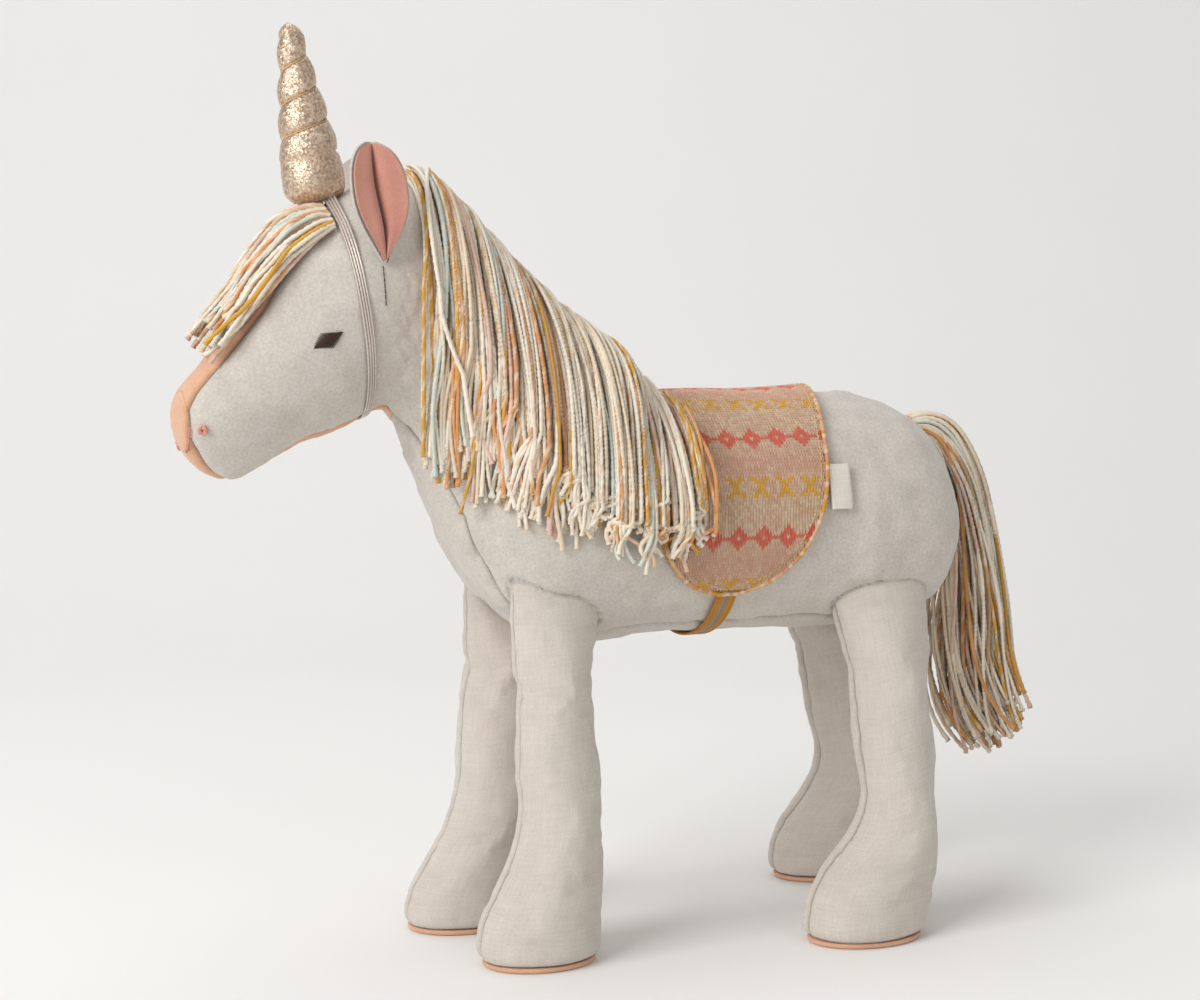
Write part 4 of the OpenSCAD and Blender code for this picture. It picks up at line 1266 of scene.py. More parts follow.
@dataclass
class Ears:
    """Folded leaves with a grey back, a pale rim and a pink lining creased down the middle."""

    form: BodyForm
    height: float = 46
    half: float = 12.5
    fold: float = 28
    LEAF = ((0, 0.05), (0.06, 0.18), (0.14, 0.38), (0.28, 0.71), (0.45, 0.95), (0.6, 1), (0.75, 0.95),
            (0.87, 0.78),
            (0.95, 0.54), (1, 0.2))

    def __post_init__(self) -> None:
        """Find the ear's foot on the head."""
        self.foot = self.form.point(8.85, 72, 2.2)

    def layer(self, depth: float, scale: float, puff: float, flop: float) -> np.ndarray:
        """One layer of the leaf: its half width follows the leaf, its two sides fold forward from the
        crease, and each side swells like a cushion.

        Args:
            depth: Distance in front of the back layer in mm.
            scale: Share of the leaf's full width and height.
            puff: Height of the cushion in mm.
            flop: How far the tip leans back in mm.

        Returns:
            Grid of points from the foot to the tip and from front to rear.
        """
        share, across = np.meshgrid(close_at_edges(64), np.linspace(-1, 1, 49), indexing="ij")
        heights, widths = np.array(self.LEAF).T
        curve = spline(np.stack([heights, widths], -1), np.linspace(0, len(heights) - 1, 200))
        w = np.interp(share, curve[:, 0], curve[:, 1]) * self.half * across * scale
        a = np.radians(self.fold)
        side = np.abs(across)
        swollen = puff * side / 0.3 * np.exp(1 - side / 0.3) * np.minimum(1, 5 * share * (1 - share))
        swollen *= 1 + 0.2 * np.sin(share * 9 + 1.4 * np.sign(across))
        bow = 0.9 * np.sin(share * 5.5 + 0.6) * np.exp(-side / 0.35) + flop * share ** 1.5
        rise = (0.5 + (share - 0.5) * (0.5 + 0.5 * scale)) * self.height
        local = np.stack([w * np.cos(a) - 4 * share + bow,
                          -np.abs(w) * np.sin(a) - depth - swollen + 3.5 * share, rise], -1)
        return self.foot + local

    def build(self) -> None:
        """Make both ears."""
        for name, side in (("left", 1), ("right", -1)):
            flop = 0.0 if side > 0 else 17.0
            for kind, slot, grid, thick in (("shell", "brushed_cotton", self.layer(0, 1, 0.0, flop), 1.2),
                                            ("lining", "pink_cotton", self.layer(1.6, 0.92, 3.2, flop), 0.9)):
                # Painted shade: the lining is darkened along its middle crease through the seam attribute.
                seam = 0.9 * np.exp(-(np.linspace(-1, 1, 49) / 0.09) ** 2) * (kind == "lining")
                piece = make_piece(f"ear_{kind}_{name}_cloth", [Patch(
                    grid * (1, side, 1), flip=side < 0,
                    seam=np.broadcast_to(seam, grid.shape[:2]))], slot, thick)
                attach(piece, f"ear_{name}")
                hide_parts(f"ear_{kind}_{name}")


# ---------------------------------------------------------------- yarn: forelock, mane and tail

@dataclass
class Yarn:
    """Cotton yarn of three plies, dyed in parts, which hangs in clumps with frayed ends."""

    radius: float = 0.98
    twist: float = 10.0
    # The last dye, tan, is painted shade: a darker strand colour that stands for yarn in shadow.
    DYES = (("#f6eee0", 11.0), ("#f3e2c9", 5.0), ("#dfa945", 1.5), ("#e2a570", 2.1), ("#edc8b8", 1.8),
            ("#d9e5df", 0.8), ("#ccb08f", 1.0))

    def strands(self, name: str, paths: np.ndarray, side: np.ndarray, seed: int) -> bpy.types.Object:
        """Make yarn along paths. Two of the three plies are of one dye and the third may be of another,
        and a strand changes dye once along its length.

        Args:
            name: Name of the piece.
            paths: Strands, points and x, y, z, from root to tip.
            side: Direction that is never along a strand.
            seed: Which random dyes it takes.

        Returns:
            The piece, which rides on nothing yet.
        """
        rng = np.random.default_rng(seed)
        count, steps = paths.shape[:2]
        codes, shares = zip(*self.DYES)
        colours = np.array([linear(code)[:3] for code in codes])
        chance = np.array(shares) / sum(shares)
        first, second, ply = (rng.choice(len(codes), count, p=chance) for _ in range(3))
        u = np.linspace(0, 1, steps)
        change = rng.uniform(0.3, 1.6, count)[:, None]
        main = np.where((u < change)[..., None], colours[first][:, None], colours[second][:, None])
        dye = np.repeat(main[:, :, None], 6, 2)
        dye[:, :, :2] = (0.5 * main + 0.5 * colours[ply][:, None])[:, :, None]
        dye *= rng.uniform(0.9, 1.04, (count, 1, 1, 1))
        fray = 1 + 0.35 * np.clip((u - 0.97) / 0.03, 0, 1)
        thin = rng.uniform(0.78, 1.08, (count, 1))
        rings = tubes(paths, self.radius * thin * fray, side, 6, self.twist, 3, 0.08)
        return make_piece(name, [Patch(rings[i], wrap=True, caps=True, dye=dye[i]) for i in range(count)],
                          "cotton_yarn")

    def resample(self, paths: np.ndarray, steps: int) -> np.ndarray:
        """Read paths again at steps points a strand."""
        t = np.linspace(0, paths.shape[1] - 1, steps)
        return np.stack([spline(path, t) for path in paths])


@dataclass
class Mane:
    """Five locks that hang from the crest of the neck down the left side."""

    form: BodyForm
    yarn: Yarn
    front: float = -98
    width: float = 109
    thick: float = 8
    saddle_reach: float = 4.2
    per_lock: int = 68
    ENDS = (22, 12, 3, -5, -6)

    def lie(self, x: np.ndarray, u: np.ndarray, lift: np.ndarray, end: np.ndarray) -> np.ndarray:
        """Where yarn lies: from the crest round to the widest place in equal angles over the first half,
        then straight down to its end.

        Args:
            x: Place along the neck.
            u: 0 at the root to 1 at the tip.
            lift: Height above the cloth in mm.
            end: Height of the tip in mm.

        Returns:
            Points in mm.
        """
        form, wx = self.form, self.form.withers[0]
        top = form.line_at(x, (1, 0))
        wide = np.maximum(form.line_at(x, (0.5, 0.5)), end + 2)
        gap = 0.9 + np.interp(x - wx, [-90, -62, -34, -16], [0.2, 1.2, 1, self.saddle_reach])
        turn = np.minimum(1, u / 0.5)
        first = np.interp(x, [wx - 6, self.front + self.width], [4, 50])
        a = np.radians(first + (84 - first) * turn)
        z = np.where(u < 0.5, top - (top - wide) * (1 - np.cos(a)),
                     wide + (end - wide) * (u - 0.5) / 0.5)
        low = np.clip((u - 0.5) / 0.12, 0, 1)
        a = a + (np.pi / 2 - a) * low
        reach = form.half_width_at(x, wide)
        half = form.half_width_at(x, z)
        half = np.where(u < 0.5, half, np.maximum(reach, half))
        return np.stack([x, -half - (gap + lift) * np.sin(a), z + (gap + lift) * np.cos(a)], -1)

    def lock(self, number: int) -> np.ndarray:
        """Paths of one lock's strands, in layers, drawn together in clumps of about seven.

        Args:
            number: 0 at the ears to 4 at the saddle.

        Returns:
            Strands, points and x, y, z.
        """
        rng = np.random.default_rng(60 + number)
        width = self.width / 5
        n = self.per_lock
        root = self.front + width * (number + (np.arange(n) * 0.618 % 1) * 0.94 + 0.03)
        clump = np.floor((root - self.front) / 5.4 + rng.uniform(-0.35, 0.35, n))
        layer = rng.permutation(n) / n
        clump_x = (clump + 0.5) * 5.4 + self.front + 1.6 * np.sin(clump * 2.3)
        ends = np.interp((root - self.front) / width - 0.5, np.arange(5), self.ENDS) + self.form.middle_z
        end = ends + 7.5 * np.sin(clump * 3.7) + rng.normal(0, 4.5, n) + 5 * layer
        u = np.linspace(0, 1, 34)[None]
        pull = 0.8 * np.sin(np.pi * np.clip(u / 1.25, 0, 1)) ** 1.5
        pull = pull * np.clip(2.2 * layer[:, None] - 0.4, 0.1, 1)
        x = root[:, None] + (clump_x - root)[:, None] * pull
        x = x + rng.normal(0, 2.6, (n, 1)) * np.clip((u - 0.6) / 0.4, 0, 1) ** 1.3
        wave = rng.uniform(0, 2 * np.pi, (n, 1))
        sway = rng.uniform(0.5, 2.4, (n, 1)) * np.sin(u * rng.uniform(4, 12, (n, 1)) + wave)
        x = x + sway * np.minimum(1, 2 * u)
        x = x + 2.2 * np.sin(np.pi * np.clip(u / 0.8, 0, 1)) * layer[:, None]
        low, high = self.front + width * number - 3.2, self.front + width * (number + 1) + 3.2
        x = np.clip(x, max(low, self.front - 2), high)
        swell = np.interp(u, [0, 0.2, 0.45, 0.8, 1], [0.9, 1.1, 1.0, 0.6, 0.45]) * self.thick
        lift = (0.12 + 0.88 * layer[:, None]) * swell + 0.5 * np.sin(u * 11 + wave)
        lift = np.maximum(0.1, lift)
        return self.yarn.resample(self.lie(x, u + 0 * x, lift, end[:, None]), 118)

    def build(self) -> None:
        """Make the locks, each held at the crest and lifting below it."""
        for number in range(5):
            paths = self.lock(number)
            if number == 0:
                paths = np.concatenate([paths, self.loose_strand()])
            piece = self.yarn.strands(f"mane_yarn_{number + 1}", paths, np.array([1.0, 0.05, 0.02]),
                                      80 + number)
            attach(piece, f"mane_{number + 1}")
            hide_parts(f"mane_lock_{number + 1}")

    def loose_strand(self) -> np.ndarray:
        """One strand that has slipped forward over the cheek and back under the others."""
        u = np.linspace(0, 1, 34)[None]
        x = self.front + 11 - 9.5 * np.sin(np.pi * np.clip(u / 0.7, 0, 1))
        x = x + 12 * np.clip(u - 0.55, 0, 1) ** 1.2
        points = self.lie(np.maximum(x, self.front + 0.5), u, 8.5 + 0 * u, np.array([[215.0]]))
        return self.yarn.resample(points, 118)


@dataclass
class Forelock:
    """Fringe of yarn from under the horn down over the forehead."""

    form: BodyForm
    yarn: Yarn
    count: int = 92

    def build(self) -> None:
        """Lay each strand over the forehead: from a narrow root it fans out as it runs down, in layers
        that swell over the brow and thin at the tips."""
        rng = np.random.default_rng(31)
        n = self.count
        fan = (np.arange(n) * 0.618) % 1
        layer = rng.permutation(n)[:, None] / n
        u = np.linspace(0, 1, 30)[None]
        clump = np.round(fan * 7)
        tip_phi = -34 + 72 * fan + rng.normal(0, 2.5, n)
        tip_phi = tip_phi + (-34 + 72 * clump / 7 - tip_phi) * 0.6
        root_phi = 4 + 34 * fan
        tip_t = 3.5 + 0.45 * np.sin(clump * 2.6) + rng.normal(0, 0.26, n)
        root_t = 7.58 + 0.04 * fan
        t = root_t[:, None] + (tip_t - root_t)[:, None] * u
        phi = root_phi[:, None] + (tip_phi - root_phi)[:, None] * u ** 0.7
        phi = phi + rng.normal(0, 3.5, (n, 1)) * np.clip((u - 0.6) / 0.4, 0, 1) ** 2
        wave = rng.uniform(0, 6.28, (n, 1))
        phi = phi + 3.4 * np.sin(u * rng.uniform(4, 11, (n, 1)) + wave) * u
        rise = np.interp(u, [0, 0.12, 0.4, 0.72, 1], [2.2, 6.0, 12.5, 14.0, 11.5])
        off = 1.4 + rise * (0.1 + 0.9 * layer) + 0.5 * np.sin(u * 9 + wave) * u
        paths = self.yarn.resample(self.form.point(t, phi, np.maximum(1.3, off)), 84)
        piece = self.yarn.strands("forelock_yarn", paths, np.array([0.0, 1.0, 0.1]), 32)
        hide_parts("forelock")
        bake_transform(piece)


@dataclass
class Tail:
    """Bundle of yarn from the top of the rump."""

    form: BodyForm
    yarn: Yarn
    drop: float = 142
    radius: float = 18
    count: int = 140
    LINE = ((0.2, 0, 0.26), (7, 0, 0.33), (14, 0.025, 0.42), (20, 0.08, 0.5), (26, 0.19, 0.62),
            (29.5, 0.36, 0.78),
            (31.5, 0.55, 0.93), (33, 0.73, 1.0), (38, 0.88, 1.02), (47, 1, 0.95))

    def build(self) -> None:
        """Carry strands along the tail's middle line, spread over its round section by the golden angle,
        gathered into clumps and splayed at the tips."""
        rng = np.random.default_rng(71)
        root = self.form.point(self.form.last - 2.5, 0, 2.4)
        n = self.count
        order = np.arange(n)
        rho = np.sqrt((order + 0.5) / n)[:, None]
        around = (order * 2.39996)[:, None]
        length = (1 - 0.10 * rng.uniform(0, 1, n) ** 1.5 + 0.03 * np.sin(order * 2.39996 * 2))[:, None]
        u = np.linspace(0, 1, 44)[None] * length
        line = spline(np.array(self.LINE, float), u * (len(self.LINE) - 1))
        ahead = np.gradient(line[..., 0], axis=1), -np.gradient(line[..., 1] * self.drop, axis=1)
        size = np.hypot(*ahead)
        wave = rng.uniform(0, 6.28, (n, 1))
        angle = around + 0.9 * np.sin(u * 4 + wave) * u + 0.8 * u
        r = line[..., 2] * self.radius * (rho * 0.92 + 0.04) * (1 - 0.1 * np.sin(u * 9 + wave))
        clump = 0.22 * np.sin(3 * around) * np.sin(np.pi * np.clip(u, 0, 1))
        r = r * (1 - clump)
        across, aside = r * np.cos(angle), r * np.sin(angle)
        x = root[0] + line[..., 0] + across * -ahead[1] / size
        z = root[2] - line[..., 1] * self.drop + across * ahead[0] / size
        y = root[1] + aside + rng.normal(0, 2.5, (n, 1)) * u ** 3
        x = np.minimum(x + rng.normal(0, 2.2, (n, 1)) * u ** 3 + 1.6 * np.sin(u * 8 + wave) * u, 194)
        paths = self.yarn.resample(np.stack([x, y, z], -1), 110)
        piece = self.yarn.strands("tail_yarn", paths, np.array([0.0, 1.0, 0.0]), 72)
        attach(piece, "tail")
        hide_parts("tail")


# ---------------------------------------------------------------- saddle pad

@dataclass
class Saddle:
    """Knitted saddle pad with a mustard backing, a rolled edge, a girth elastic and a blank label."""

    form: BodyForm
    length: float = 82
    drop: float = 109
    # Stitches are drawn a little coarser than the real 1.2 mm ones, so that their V's stay clear
    stitch_w: float = 1.4
    stitch_h: float = 1.35
    backing_r: float = 50.6
    backing_t: float = 0.9
    FLAP = ((0, 0, 1), (0.18, -0.01, 0.94), (0.36, -0.03, 0.88), (0.55, -0.05, 0.84), (0.7, -0.06, 0.79),
            (0.81, -0.04, 0.72), (0.9, 0.04, 0.62), (0.96, 0.14, 0.51), (1, 0.28, 0.38))
    # Charts of the two motifs, one letter a stitch, seen from the left side with the spine on top
    DIAMOND = ("...x....", "..xxx...", ".xxxxx..", "xxx.xxxx", ".xxxxx..", "..xxx...", "...x....")
    CROSS = ("xx..xx..", ".xxxx...", "..xx....", "..xx....", ".xxxx...", "xx..xx..")
    FIRST_DIAMOND = 4.0
    REPEAT = 40.5

    def edge(self, share: np.ndarray, side: int) -> np.ndarray:
        """Front (1) or rear (2) edge of the flap at a share of its drop: a smooth curve through FLAP."""
        table = np.array(self.FLAP, float)
        curve = spline(table, np.linspace(0, len(table) - 1, 200))
        start = self.form.withers[0] + 1.5
        return start + self.length * np.interp(np.abs(share), curve[:, 0], curve[:, side])

    def wrap(self, x: np.ndarray, down: np.ndarray, r: np.ndarray) -> np.ndarray:
        """Place down mm from the spine over the barrel, at radius r: an angle of down over the barrel's
        own radius."""
        a = down / self.form.barrel_r
        return np.stack([x + 0 * a, -r * np.sin(a), self.form.middle_z + r * np.cos(a)], -1)

    def height(self, x: np.ndarray, down: np.ndarray) -> np.ndarray:
        """How far the pad lies off the barrel: soft waves, more towards the spine's front."""
        spot = np.stack([x, down, 0 * down + 7], -1)
        return 0.55 * ripple(spot, 38, 91) + 0.5

    def backing(self) -> bpy.types.Object:
        """The mustard layer: its edge stands about 2 mm outside the knit's last stitches."""
        down, across = np.meshgrid(np.linspace(-1, 1, 190), np.linspace(0, 1, 70), indexing="ij")
        bent = np.sign(down) * np.abs(down) ** 0.9
        x = self.edge(bent, 1) + (self.edge(bent, 2) - self.edge(bent, 1)) * across
        x = x + 1.3 * (2 * across - 1)
        down = bent * (self.drop + 0.8)
        r = self.backing_r + self.backing_t + self.height(x, down)
        piece = make_piece("saddle_mustard_backing", [Patch(self.wrap(x, down, r)[::-1])], "mustard_lining",
                           self.backing_t)
        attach(piece, "saddle")
        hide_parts("saddle_backing")
        return piece

    def colour(self, column: np.ndarray, down: np.ndarray, rng: np.random.Generator) -> np.ndarray:
        """Dye of each stitch: heathered tan with pinker bands, and the two charts in turn.

        Args:
            column: Number of the stitch along the spine.
            down: Distance from the spine in mm, more to the left.
            rng: Source of the heather.

        Returns:
            Linear colour of each stitch.
        """
        tan, sand, rose, coral, mustard = (np.array(linear(code)[:3]) for code in (
            "#e3bb9c", "#f6dfc4", "#e8b09c", "#f4806a", "#f4be52"))
        heather = rng.uniform(0, 1, down.shape)[..., None]
        pink = 0.5 + 0.5 * np.cos((down - 55) * 2 * np.pi / self.REPEAT)[..., None]
        base = tan + (sand - tan) * heather
        base = base + (rose - base) * (pink ** 3 * rng.uniform(0.1, 0.9, down.shape)[..., None])
        for chart, start, dye in ((self.DIAMOND, self.FIRST_DIAMOND, coral),
                                  (self.CROSS, self.FIRST_DIAMOND + self.REPEAT / 2, mustard)):
            marks = np.array([[letter == "x" for letter in row] for row in chart])
            row = np.round(((down - start + self.REPEAT / 2) % self.REPEAT - self.REPEAT / 2) / self.stitch_h
                           + len(chart) / 2 - 0.5).astype(int)
            here = (row >= 0) & (row < len(chart))
            here &= marks[np.clip(row, 0, len(chart) - 1), column % marks.shape[1]]
            shade = 0.88 + 0.22 * heather
            base = np.where(here[..., None], dye * shade, base)
        return base

    def knit(self) -> list[bpy.types.Object]:
        """Knit the cover. Each stitch is a V of two short fat leaves of yarn that lean together downwards,
        with the next one's arms inside it. The left and right halves are separate pieces.

        Returns:
            The two halves.
        """
        columns = np.arange(-4, int(self.length / self.stitch_w) + 1)
        rows = np.arange(1, int(self.drop / self.stitch_h))
        pieces = []
        around = np.arange(4) * np.pi / 2 + np.pi / 4
        for name, side in (("left", 1), ("right", -1)):
            rng = np.random.default_rng(95 + side)
            column, row = (m.ravel() for m in np.meshgrid(columns, rows, indexing="ij"))
            x = self.form.withers[0] + 1.5 + (column + 0.5) * self.stitch_w
            down = (row - 0.5) * self.stitch_h
            share = down / self.drop
            inside = (x > self.edge(share, 1) + 0.9) & (x < self.edge(share, 2) - 0.9) & (share < 0.985)
            column, x, down = column[inside], x[inside], down[inside] * side
            dye = self.colour(column, down, rng)
            along = np.array([-0.75, 0.0, 0.75]) * self.stitch_h * 1.25
            fat = np.array([0.16, 0.56, 0.26])
            patches = []
            for lean in (-1, 1):
                centre_x = x[:, None] + lean * self.stitch_w * np.array([0.38, 0.27, 0.06])
                centre_d = down[:, None] + along * side
                radius = self.stitch_w * 0.5 * fat
                gx = centre_x[..., None] + radius[:, None] * np.cos(around) * 0.75
                gd = centre_d[..., None] + 0 * gx
                base = self.backing_r + self.backing_t + 0.35 + self.height(gx, gd)
                gr = base + np.array([0.05, 0.55, 0.1])[:, None] + radius[:, None] * np.sin(around) * 0.9
                patches.append(self.wrap(gx, gd, gr))
            leaves = np.concatenate(patches)
            # Painted shade: the lower half of each leaf ring gets 0.38 of the colour, so dark lines show
            # between stitches.
            deep = np.where(np.sin(around) > 0, 1.0, 0.38)[:, None]
            colours = np.concatenate([dye, dye])[:, None, None] * deep
            # Painted shade: each leaf's first ring gets 0.7 and its last 0.95 of the colour, where the arms
            # tuck under.
            colours = colours * np.array([0.7, 1.0, 0.95])[:, None, None]
            piece = self.many(f"saddle_knit_{name}", leaves, colours, side < 0)
            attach(piece, "saddle")
            pieces.append(piece)
        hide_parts("saddle_knit")
        return pieces

    def many(self, name: str, leaves: np.ndarray, dye: np.ndarray, flip: bool) -> bpy.types.Object:
        """Make one mesh of many closed leaves of three rings of four points each.

        Args:
            name: Name of the piece.
            leaves: Leaves, rings, points and x, y, z.
            dye: Colour of each point, painted shade on the leaves' lower sides and ends included.
            flip: True where the faces have to be turned round.

        Returns:
            The piece.
        """
        count = len(leaves)
        k = np.arange(4)
        ring = np.stack([k, (k + 1) % 4, (k + 1) % 4 + 4, k + 4], -1)
        faces = np.concatenate([ring, ring + 4, [[3, 2, 1, 0], [8, 9, 10, 11]]])
        if not flip:
            faces = faces[:, ::-1]
        faces = (faces[None] + 12 * np.arange(count)[:, None, None]).reshape(-1, 4)
        verts = leaves.reshape(-1, 3)
        mesh = bpy.data.meshes.new(name)
        mesh.vertices.add(len(verts))
        mesh.vertices.foreach_set("co", (verts * MM).astype(np.float32).ravel())
        mesh.loops.add(faces.size)
        mesh.loops.foreach_set("vertex_index", faces.astype(np.int32).ravel())
        mesh.polygons.add(len(faces))
        mesh.polygons.foreach_set("loop_start", (np.arange(len(faces)) * 4).astype(np.int32))
        mesh.polygons.foreach_set("use_smooth", np.ones(len(faces), bool))
        flat = verts[faces.ravel()][:, [0, 2]] - verts[faces.ravel()][:, [1, 1]]
        mesh.uv_layers.new(name="cloth").data.foreach_set("uv", flat.astype(np.float32).ravel())
        colours = np.concatenate([dye.reshape(-1, 3), np.ones((len(verts), 1))], 1)
        mesh.color_attributes.new("dye", "FLOAT_COLOR", "POINT").data.foreach_set(
            "color", colours.astype(np.float32).ravel())
        mesh.update(calc_edges=True)
        piece = bpy.data.objects.new(name, mesh)
        bpy.context.scene.collection.objects.link(piece)
        mesh.materials.append(FINISHES.get("knitted_wool"))
        log.info("%s: %d stitches' arms", name, count)
        return piece

    def outline(self, inset: float, r: float, steps: int) -> np.ndarray:
        """Closed line round the pad, inset mm inside its edge: down the left flap's rear edge and up its
        front, and the same on the right.

        Args:
            inset: Distance inside the edge in mm.
            r: Radius above the backing in mm.
            steps: How many points.

        Returns:
            One closed path.
        """
        s = np.sin(np.linspace(0, np.pi / 2, 60))
        down = np.concatenate([s, s[::-1], -s, -s[::-1]])
        side = np.repeat([2, 1, 1, 2], 60)
        rear = self.edge(down, 2)
        front = self.edge(down, 1)
        x = np.where(side == 2, rear - inset, front + inset)
        path = np.stack([x, down * (self.drop - inset)], -1)
        gone = np.concatenate([[0], np.cumsum(np.linalg.norm(np.diff(path, axis=0), axis=-1))])
        even = np.linspace(0, gone[-1], steps)
        x, down = (np.interp(even, gone, path[:, k]) for k in (0, 1))
        return self.wrap(x, down, self.backing_r + self.backing_t + self.height(x, down) + r)

    def rolled_edge(self) -> bpy.types.Object:
        """The knit's own edge rolled into a cord all round, whipped in sand, rose and mustard."""
        path = self.outline(-0.1, 0.7, 900)
        ahead = np.roll(path, -1, 0) - np.roll(path, 1, 0)
        middle = np.array([0, 0, self.form.middle_z])
        out = (path - middle) * (0, 1, 1)
        out /= np.linalg.norm(out, axis=-1, keepdims=True)
        ahead /= np.maximum(1e-9, np.linalg.norm(ahead, axis=-1, keepdims=True))
        across = np.cross(ahead, out)
        around = np.arange(8) * np.pi / 4
        stitch = np.sin(np.arange(900) * 2 * np.pi / 4.5)[:, None] * 0.16
        reach = 1.0 + stitch
        points = path[:, None] + reach[..., None] * (np.cos(around)[None, :, None] * across[:, None]
                                                     + 0.85 * np.sin(around)[None, :, None] * out[:, None])
        rng = np.random.default_rng(97)
        dyes = np.array([linear(code)[:3] for code in ("#d6b08c", "#cf9a7f", "#d59a3a", "#e0c7a8")])
        pick = np.repeat(rng.choice(4, 300, p=[0.35, 0.25, 0.22, 0.18]), 3)
        dye = np.broadcast_to(dyes[pick][:, None], points.shape)
        points, dye = points[:-1], dye[:-1]
        closed = np.concatenate([points, points[:1]])
        return make_piece("saddle_rolled_edge", [Patch(
            closed, wrap=True, dye=np.concatenate([dye, dye[:1]]))], "knitted_wool")

    def edge_stitching(self) -> bpy.types.Object:
        """A line of brown-gold stitches 2.6 mm inside the edge, each one sunk at its ends."""
        path = self.outline(2.7, 1.15, 1200).reshape(-1, 6, 3)
        sink = np.array([-0.5, 0.0, 0.1, 0.1, 0.0, -0.5])
        middle = np.array([0, 0, self.form.middle_z])
        out = (path - middle) * (0, 1, 1)
        out /= np.linalg.norm(out, axis=-1, keepdims=True)
        rings = tubes(path + out * sink[:, None], 0.3, np.array([0.4, 0.5, 0.7]), 4)
        return make_piece("saddle_edge_stitching", [Patch(r, wrap=True, caps=True) for r in rings],
                          "gold_thread")

    def girth(self) -> None:
        """Elastic under the belly: five ribs, mustard at both edges and tan and grey between."""
        ribs = 6
        face = np.linspace(0, 1, 4 * ribs + 1)
        rib = np.abs(np.sin(np.pi * ribs * face)) ** 0.6
        share = np.concatenate([face, [0.98, 0.02]])
        off = np.concatenate([1.2 + 0.4 * rib, [0.7, 0.7]])
        start = self.drop - 3
        end = 2 * np.pi * self.form.barrel_r - start
        down = np.linspace(start, end, 260)[:, None]
        x = self.form.withers[0] + 1.5 + self.length * 0.33 + 9.0 * (share - 0.5)[None]
        points = self.wrap(x + 0.2 * np.sin(down / 9), down + 0 * x, self.backing_r + off[None] + 0 * down)
        codes = ("#cf8f2c", "#d79a35", "#bfa27e", "#a39a8c", "#d79a35", "#cf8f2c")
        dyes = np.array([linear(code)[:3] for code in codes])
        dye = dyes[np.clip((share * ribs).astype(int), 0, ribs - 1)]
        # Painted shade: rows along the elastic vary between 0.8 and 1 of their colour.
        row_shade = 0.9 + 0.1 * np.sin(np.arange(260) * 1.9)
        dye = np.broadcast_to(dye[None], points.shape) * row_shade[:, None, None]
        piece = make_piece("girth_striped_elastic", [Patch(points, wrap=True, caps=True, flip=True, dye=dye)],
                           "striped_elastic")
        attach(piece, "saddle")
        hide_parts("girth_elastic")

    def label(self) -> None:
        """Blank tab of folded tape: out from the edge, round a small fold and back, closed all round."""
        box_low, box_high = (np.array(corner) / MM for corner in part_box("label_tab"))
        share = 0.6
        a = share * self.drop / self.form.barrel_r
        wide, tall, gap = 9.5, 19.0, 0.55
        u = np.concatenate([np.linspace(0, 1, 14), np.linspace(1, 0, 14)])
        fold = np.concatenate([np.full(14, gap / 2), np.full(14, -gap / 2)])
        fold *= np.minimum(1, (1 - u) * 12 + 0.25)
        v = np.linspace(-0.5, 0.5, 30)
        x = box_low[0] + wide * u[:, None] + 0.15 * np.sin(v * 9) * u[:, None] + 0 * v
        out = fold[:, None] + 0.5 * np.sin(u[:, None] * 2.2 + v * 3) * u[:, None]
        down = tall * v[None] + 0 * x
        r = self.backing_r + 1.0 + out
        y = -r * np.sin(a) - down * np.cos(a)
        z = self.form.middle_z + r * np.cos(a) - down * np.sin(a)
        points = np.stack([x, y, z], -1)
        piece = make_piece("label_blank_tape", [Patch(points, flip=True)], "cotton_tape", 0.25)
        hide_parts("label_tab")
        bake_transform(piece)

    def build(self) -> None:
        backing = self.backing()
        knit = self.knit()
        extras = [self.rolled_edge(), self.edge_stitching()]
        for piece in extras:
            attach(piece, "saddle")
        self.girth()
        self.label()


# ---------------------------------------------------------------- studio

def look(way: np.ndarray) -> tuple[float, float, float]:
    """Turn that points an object's -Z axis along a direction with its Y axis up."""
    return tuple(Vector(way).to_track_quat("-Z", "Y").to_euler())


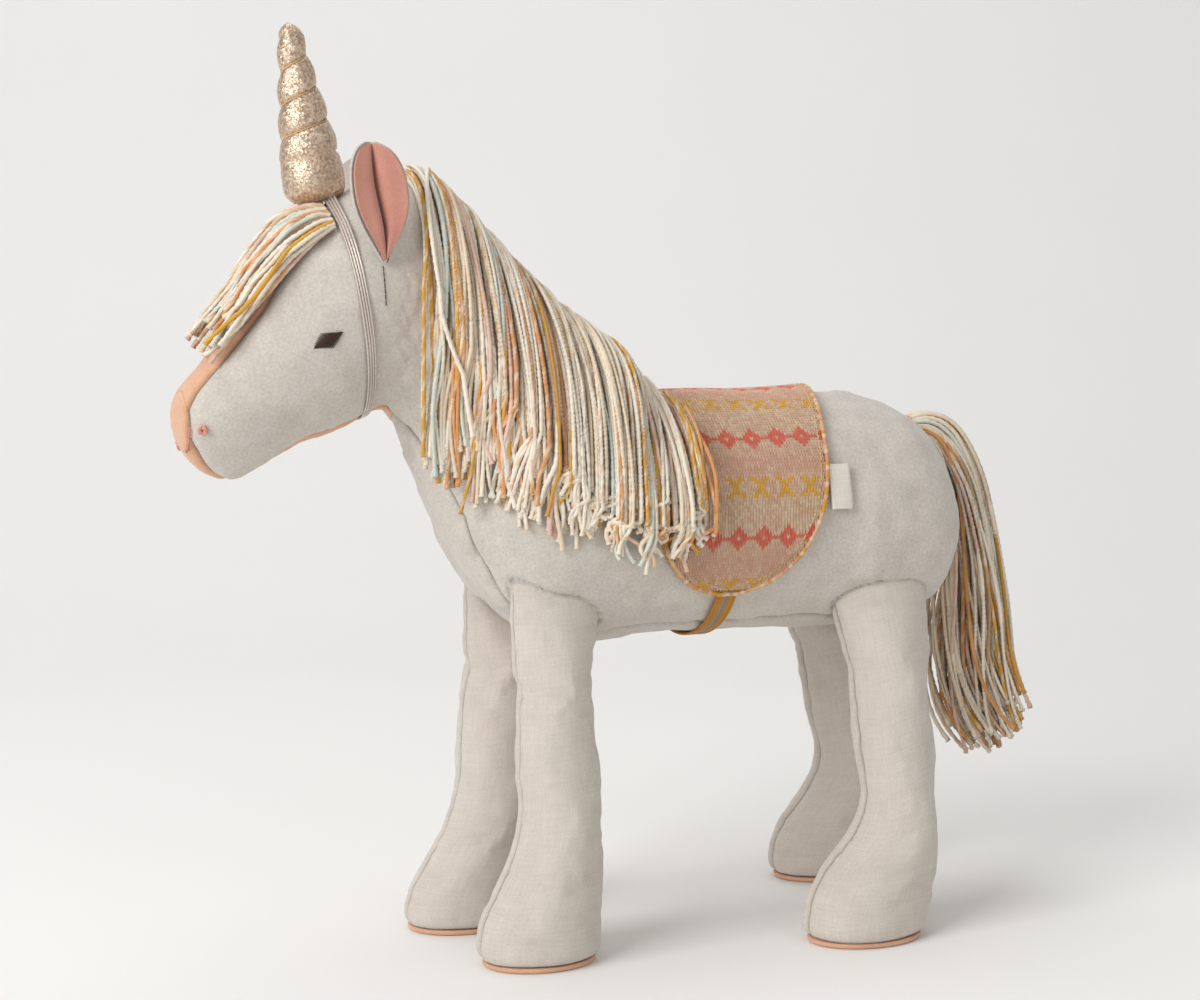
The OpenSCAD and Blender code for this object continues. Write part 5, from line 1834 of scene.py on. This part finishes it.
@dataclass
class Studio:
    """Pale seamless paper, soft lights and the camera at the toy's left side."""

    azimuth: float = -21.4
    elevation: float = 5.0
    distance: float = 924
    target: tuple = (-12, 0, 184.5)
    lens: float = 66.0

    def paper(self) -> None:
        """Seamless paper: a flat floor that curves up into a wall behind the toy."""
        material = bpy.data.materials.new("matt white paper")
        material.use_nodes = True
        tree = material.node_tree
        skin = tree.nodes["Principled BSDF"]
        where = add_node(tree, "ShaderNodeTexCoord").outputs["Object"]
        grain = add_node(tree, "ShaderNodeTexNoise", {"Vector": where, "Scale": 3.0})
        ramp = add_node(tree, "ShaderNodeValToRGB", {"Fac": grain.outputs["Fac"]})
        ramp.color_ramp.elements[0].color = linear("#f4f3f1")
        ramp.color_ramp.elements[1].color = linear("#f8f7f5")
        tree.links.new(ramp.outputs["Color"], skin.inputs["Base Color"])
        skin.inputs["Roughness"].default_value = 0.9
        skin.inputs["Specular IOR Level"].default_value = 0.1
        turn = np.radians(np.linspace(0, 90, 33))
        ahead = np.concatenate([[-4.0], 0.7 + 1.2 * np.sin(turn), [1.9]])
        up = np.concatenate([[0.0], 1.2 - 1.2 * np.cos(turn), [5.0]])
        a = np.radians(self.azimuth)
        verts = [(float(-np.sin(a) * v + np.cos(a) * u), float(np.cos(a) * v + np.sin(a) * u), float(z))
                 for v, z in zip(ahead, up) for u in (-4, 4)]
        mesh = bpy.data.meshes.new("floor_paper")
        mesh.from_pydata(verts, [], [(2 * i, 2 * i + 1, 2 * i + 3, 2 * i + 2) for i in range(len(up) - 1)])
        mesh.shade_smooth()
        mesh.materials.append(material)
        floor = bpy.data.objects.new("floor_paper", mesh)
        bpy.context.scene.collection.objects.link(floor)

    def lamp(self, name: str, place: tuple, size: float, power: float) -> None:
        """Square softbox that faces the toy's middle."""
        light = bpy.data.lights.new(name, "AREA")
        light.size = size
        light.energy = power
        lamp = bpy.data.objects.new(name, light)
        lamp.location = place
        aim = np.array([0.0, 0.0, 0.18]) - np.array(place)
        lamp.rotation_euler = look(aim)
        bpy.context.scene.collection.objects.link(lamp)

    def build(self) -> None:
        """Make floor, lights, surroundings and camera."""
        self.paper()
        self.lamp("key_softbox", (-2.3, -1.1, 1.5), 1.5, 48)
        self.lamp("fill_softbox", (0.7, -2.2, 0.9), 1.8, 4)
        self.lamp("top_softbox", (-0.3, 0.2, 2.0), 1.4, 10)
        world = bpy.data.worlds.new("white studio")
        world.use_nodes = True
        world.node_tree.nodes["Background"].inputs["Color"].default_value = (1, 1, 1, 1)
        world.node_tree.nodes["Background"].inputs["Strength"].default_value = 0.42
        scene = bpy.context.scene
        scene.world = world
        scene.view_settings.view_transform = "Standard"
        a, e = np.radians([self.azimuth, self.elevation])
        back = np.array([np.sin(a) * np.cos(e), -np.cos(a) * np.cos(e), np.sin(e)])
        camera = bpy.data.cameras.new("camera")
        camera.lens = self.lens
        camera.sensor_width = 36
        camera.clip_start = 0.01
        holder = bpy.data.objects.new("camera", camera)
        holder.location = (np.array(self.target) + back * self.distance) * MM
        holder.rotation_euler = look(-back)
        scene.collection.objects.link(holder)
        scene.camera = holder


def main() -> None:
    """Build the toy piece by piece."""
    logging.basicConfig(level=logging.INFO, format="%(name)s %(message)s")
    form = BodyForm()
    yarn = Yarn()
    legs = [Leg(form, corner) for corner in Corner]
    Torso(form, [leg.place(leg.rings[-1]) for leg in legs]).build()
    FaceStitches(form).build()
    for leg in legs:
        leg.build()
    Horn(form).build()
    Ears(form).build()
    Forelock(form, yarn).build()
    Mane(form, yarn).build()
    Tail(form, yarn).build()
    Saddle(form).build()
    Studio().build()
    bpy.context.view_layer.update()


if __name__ == "__main__":
    main()
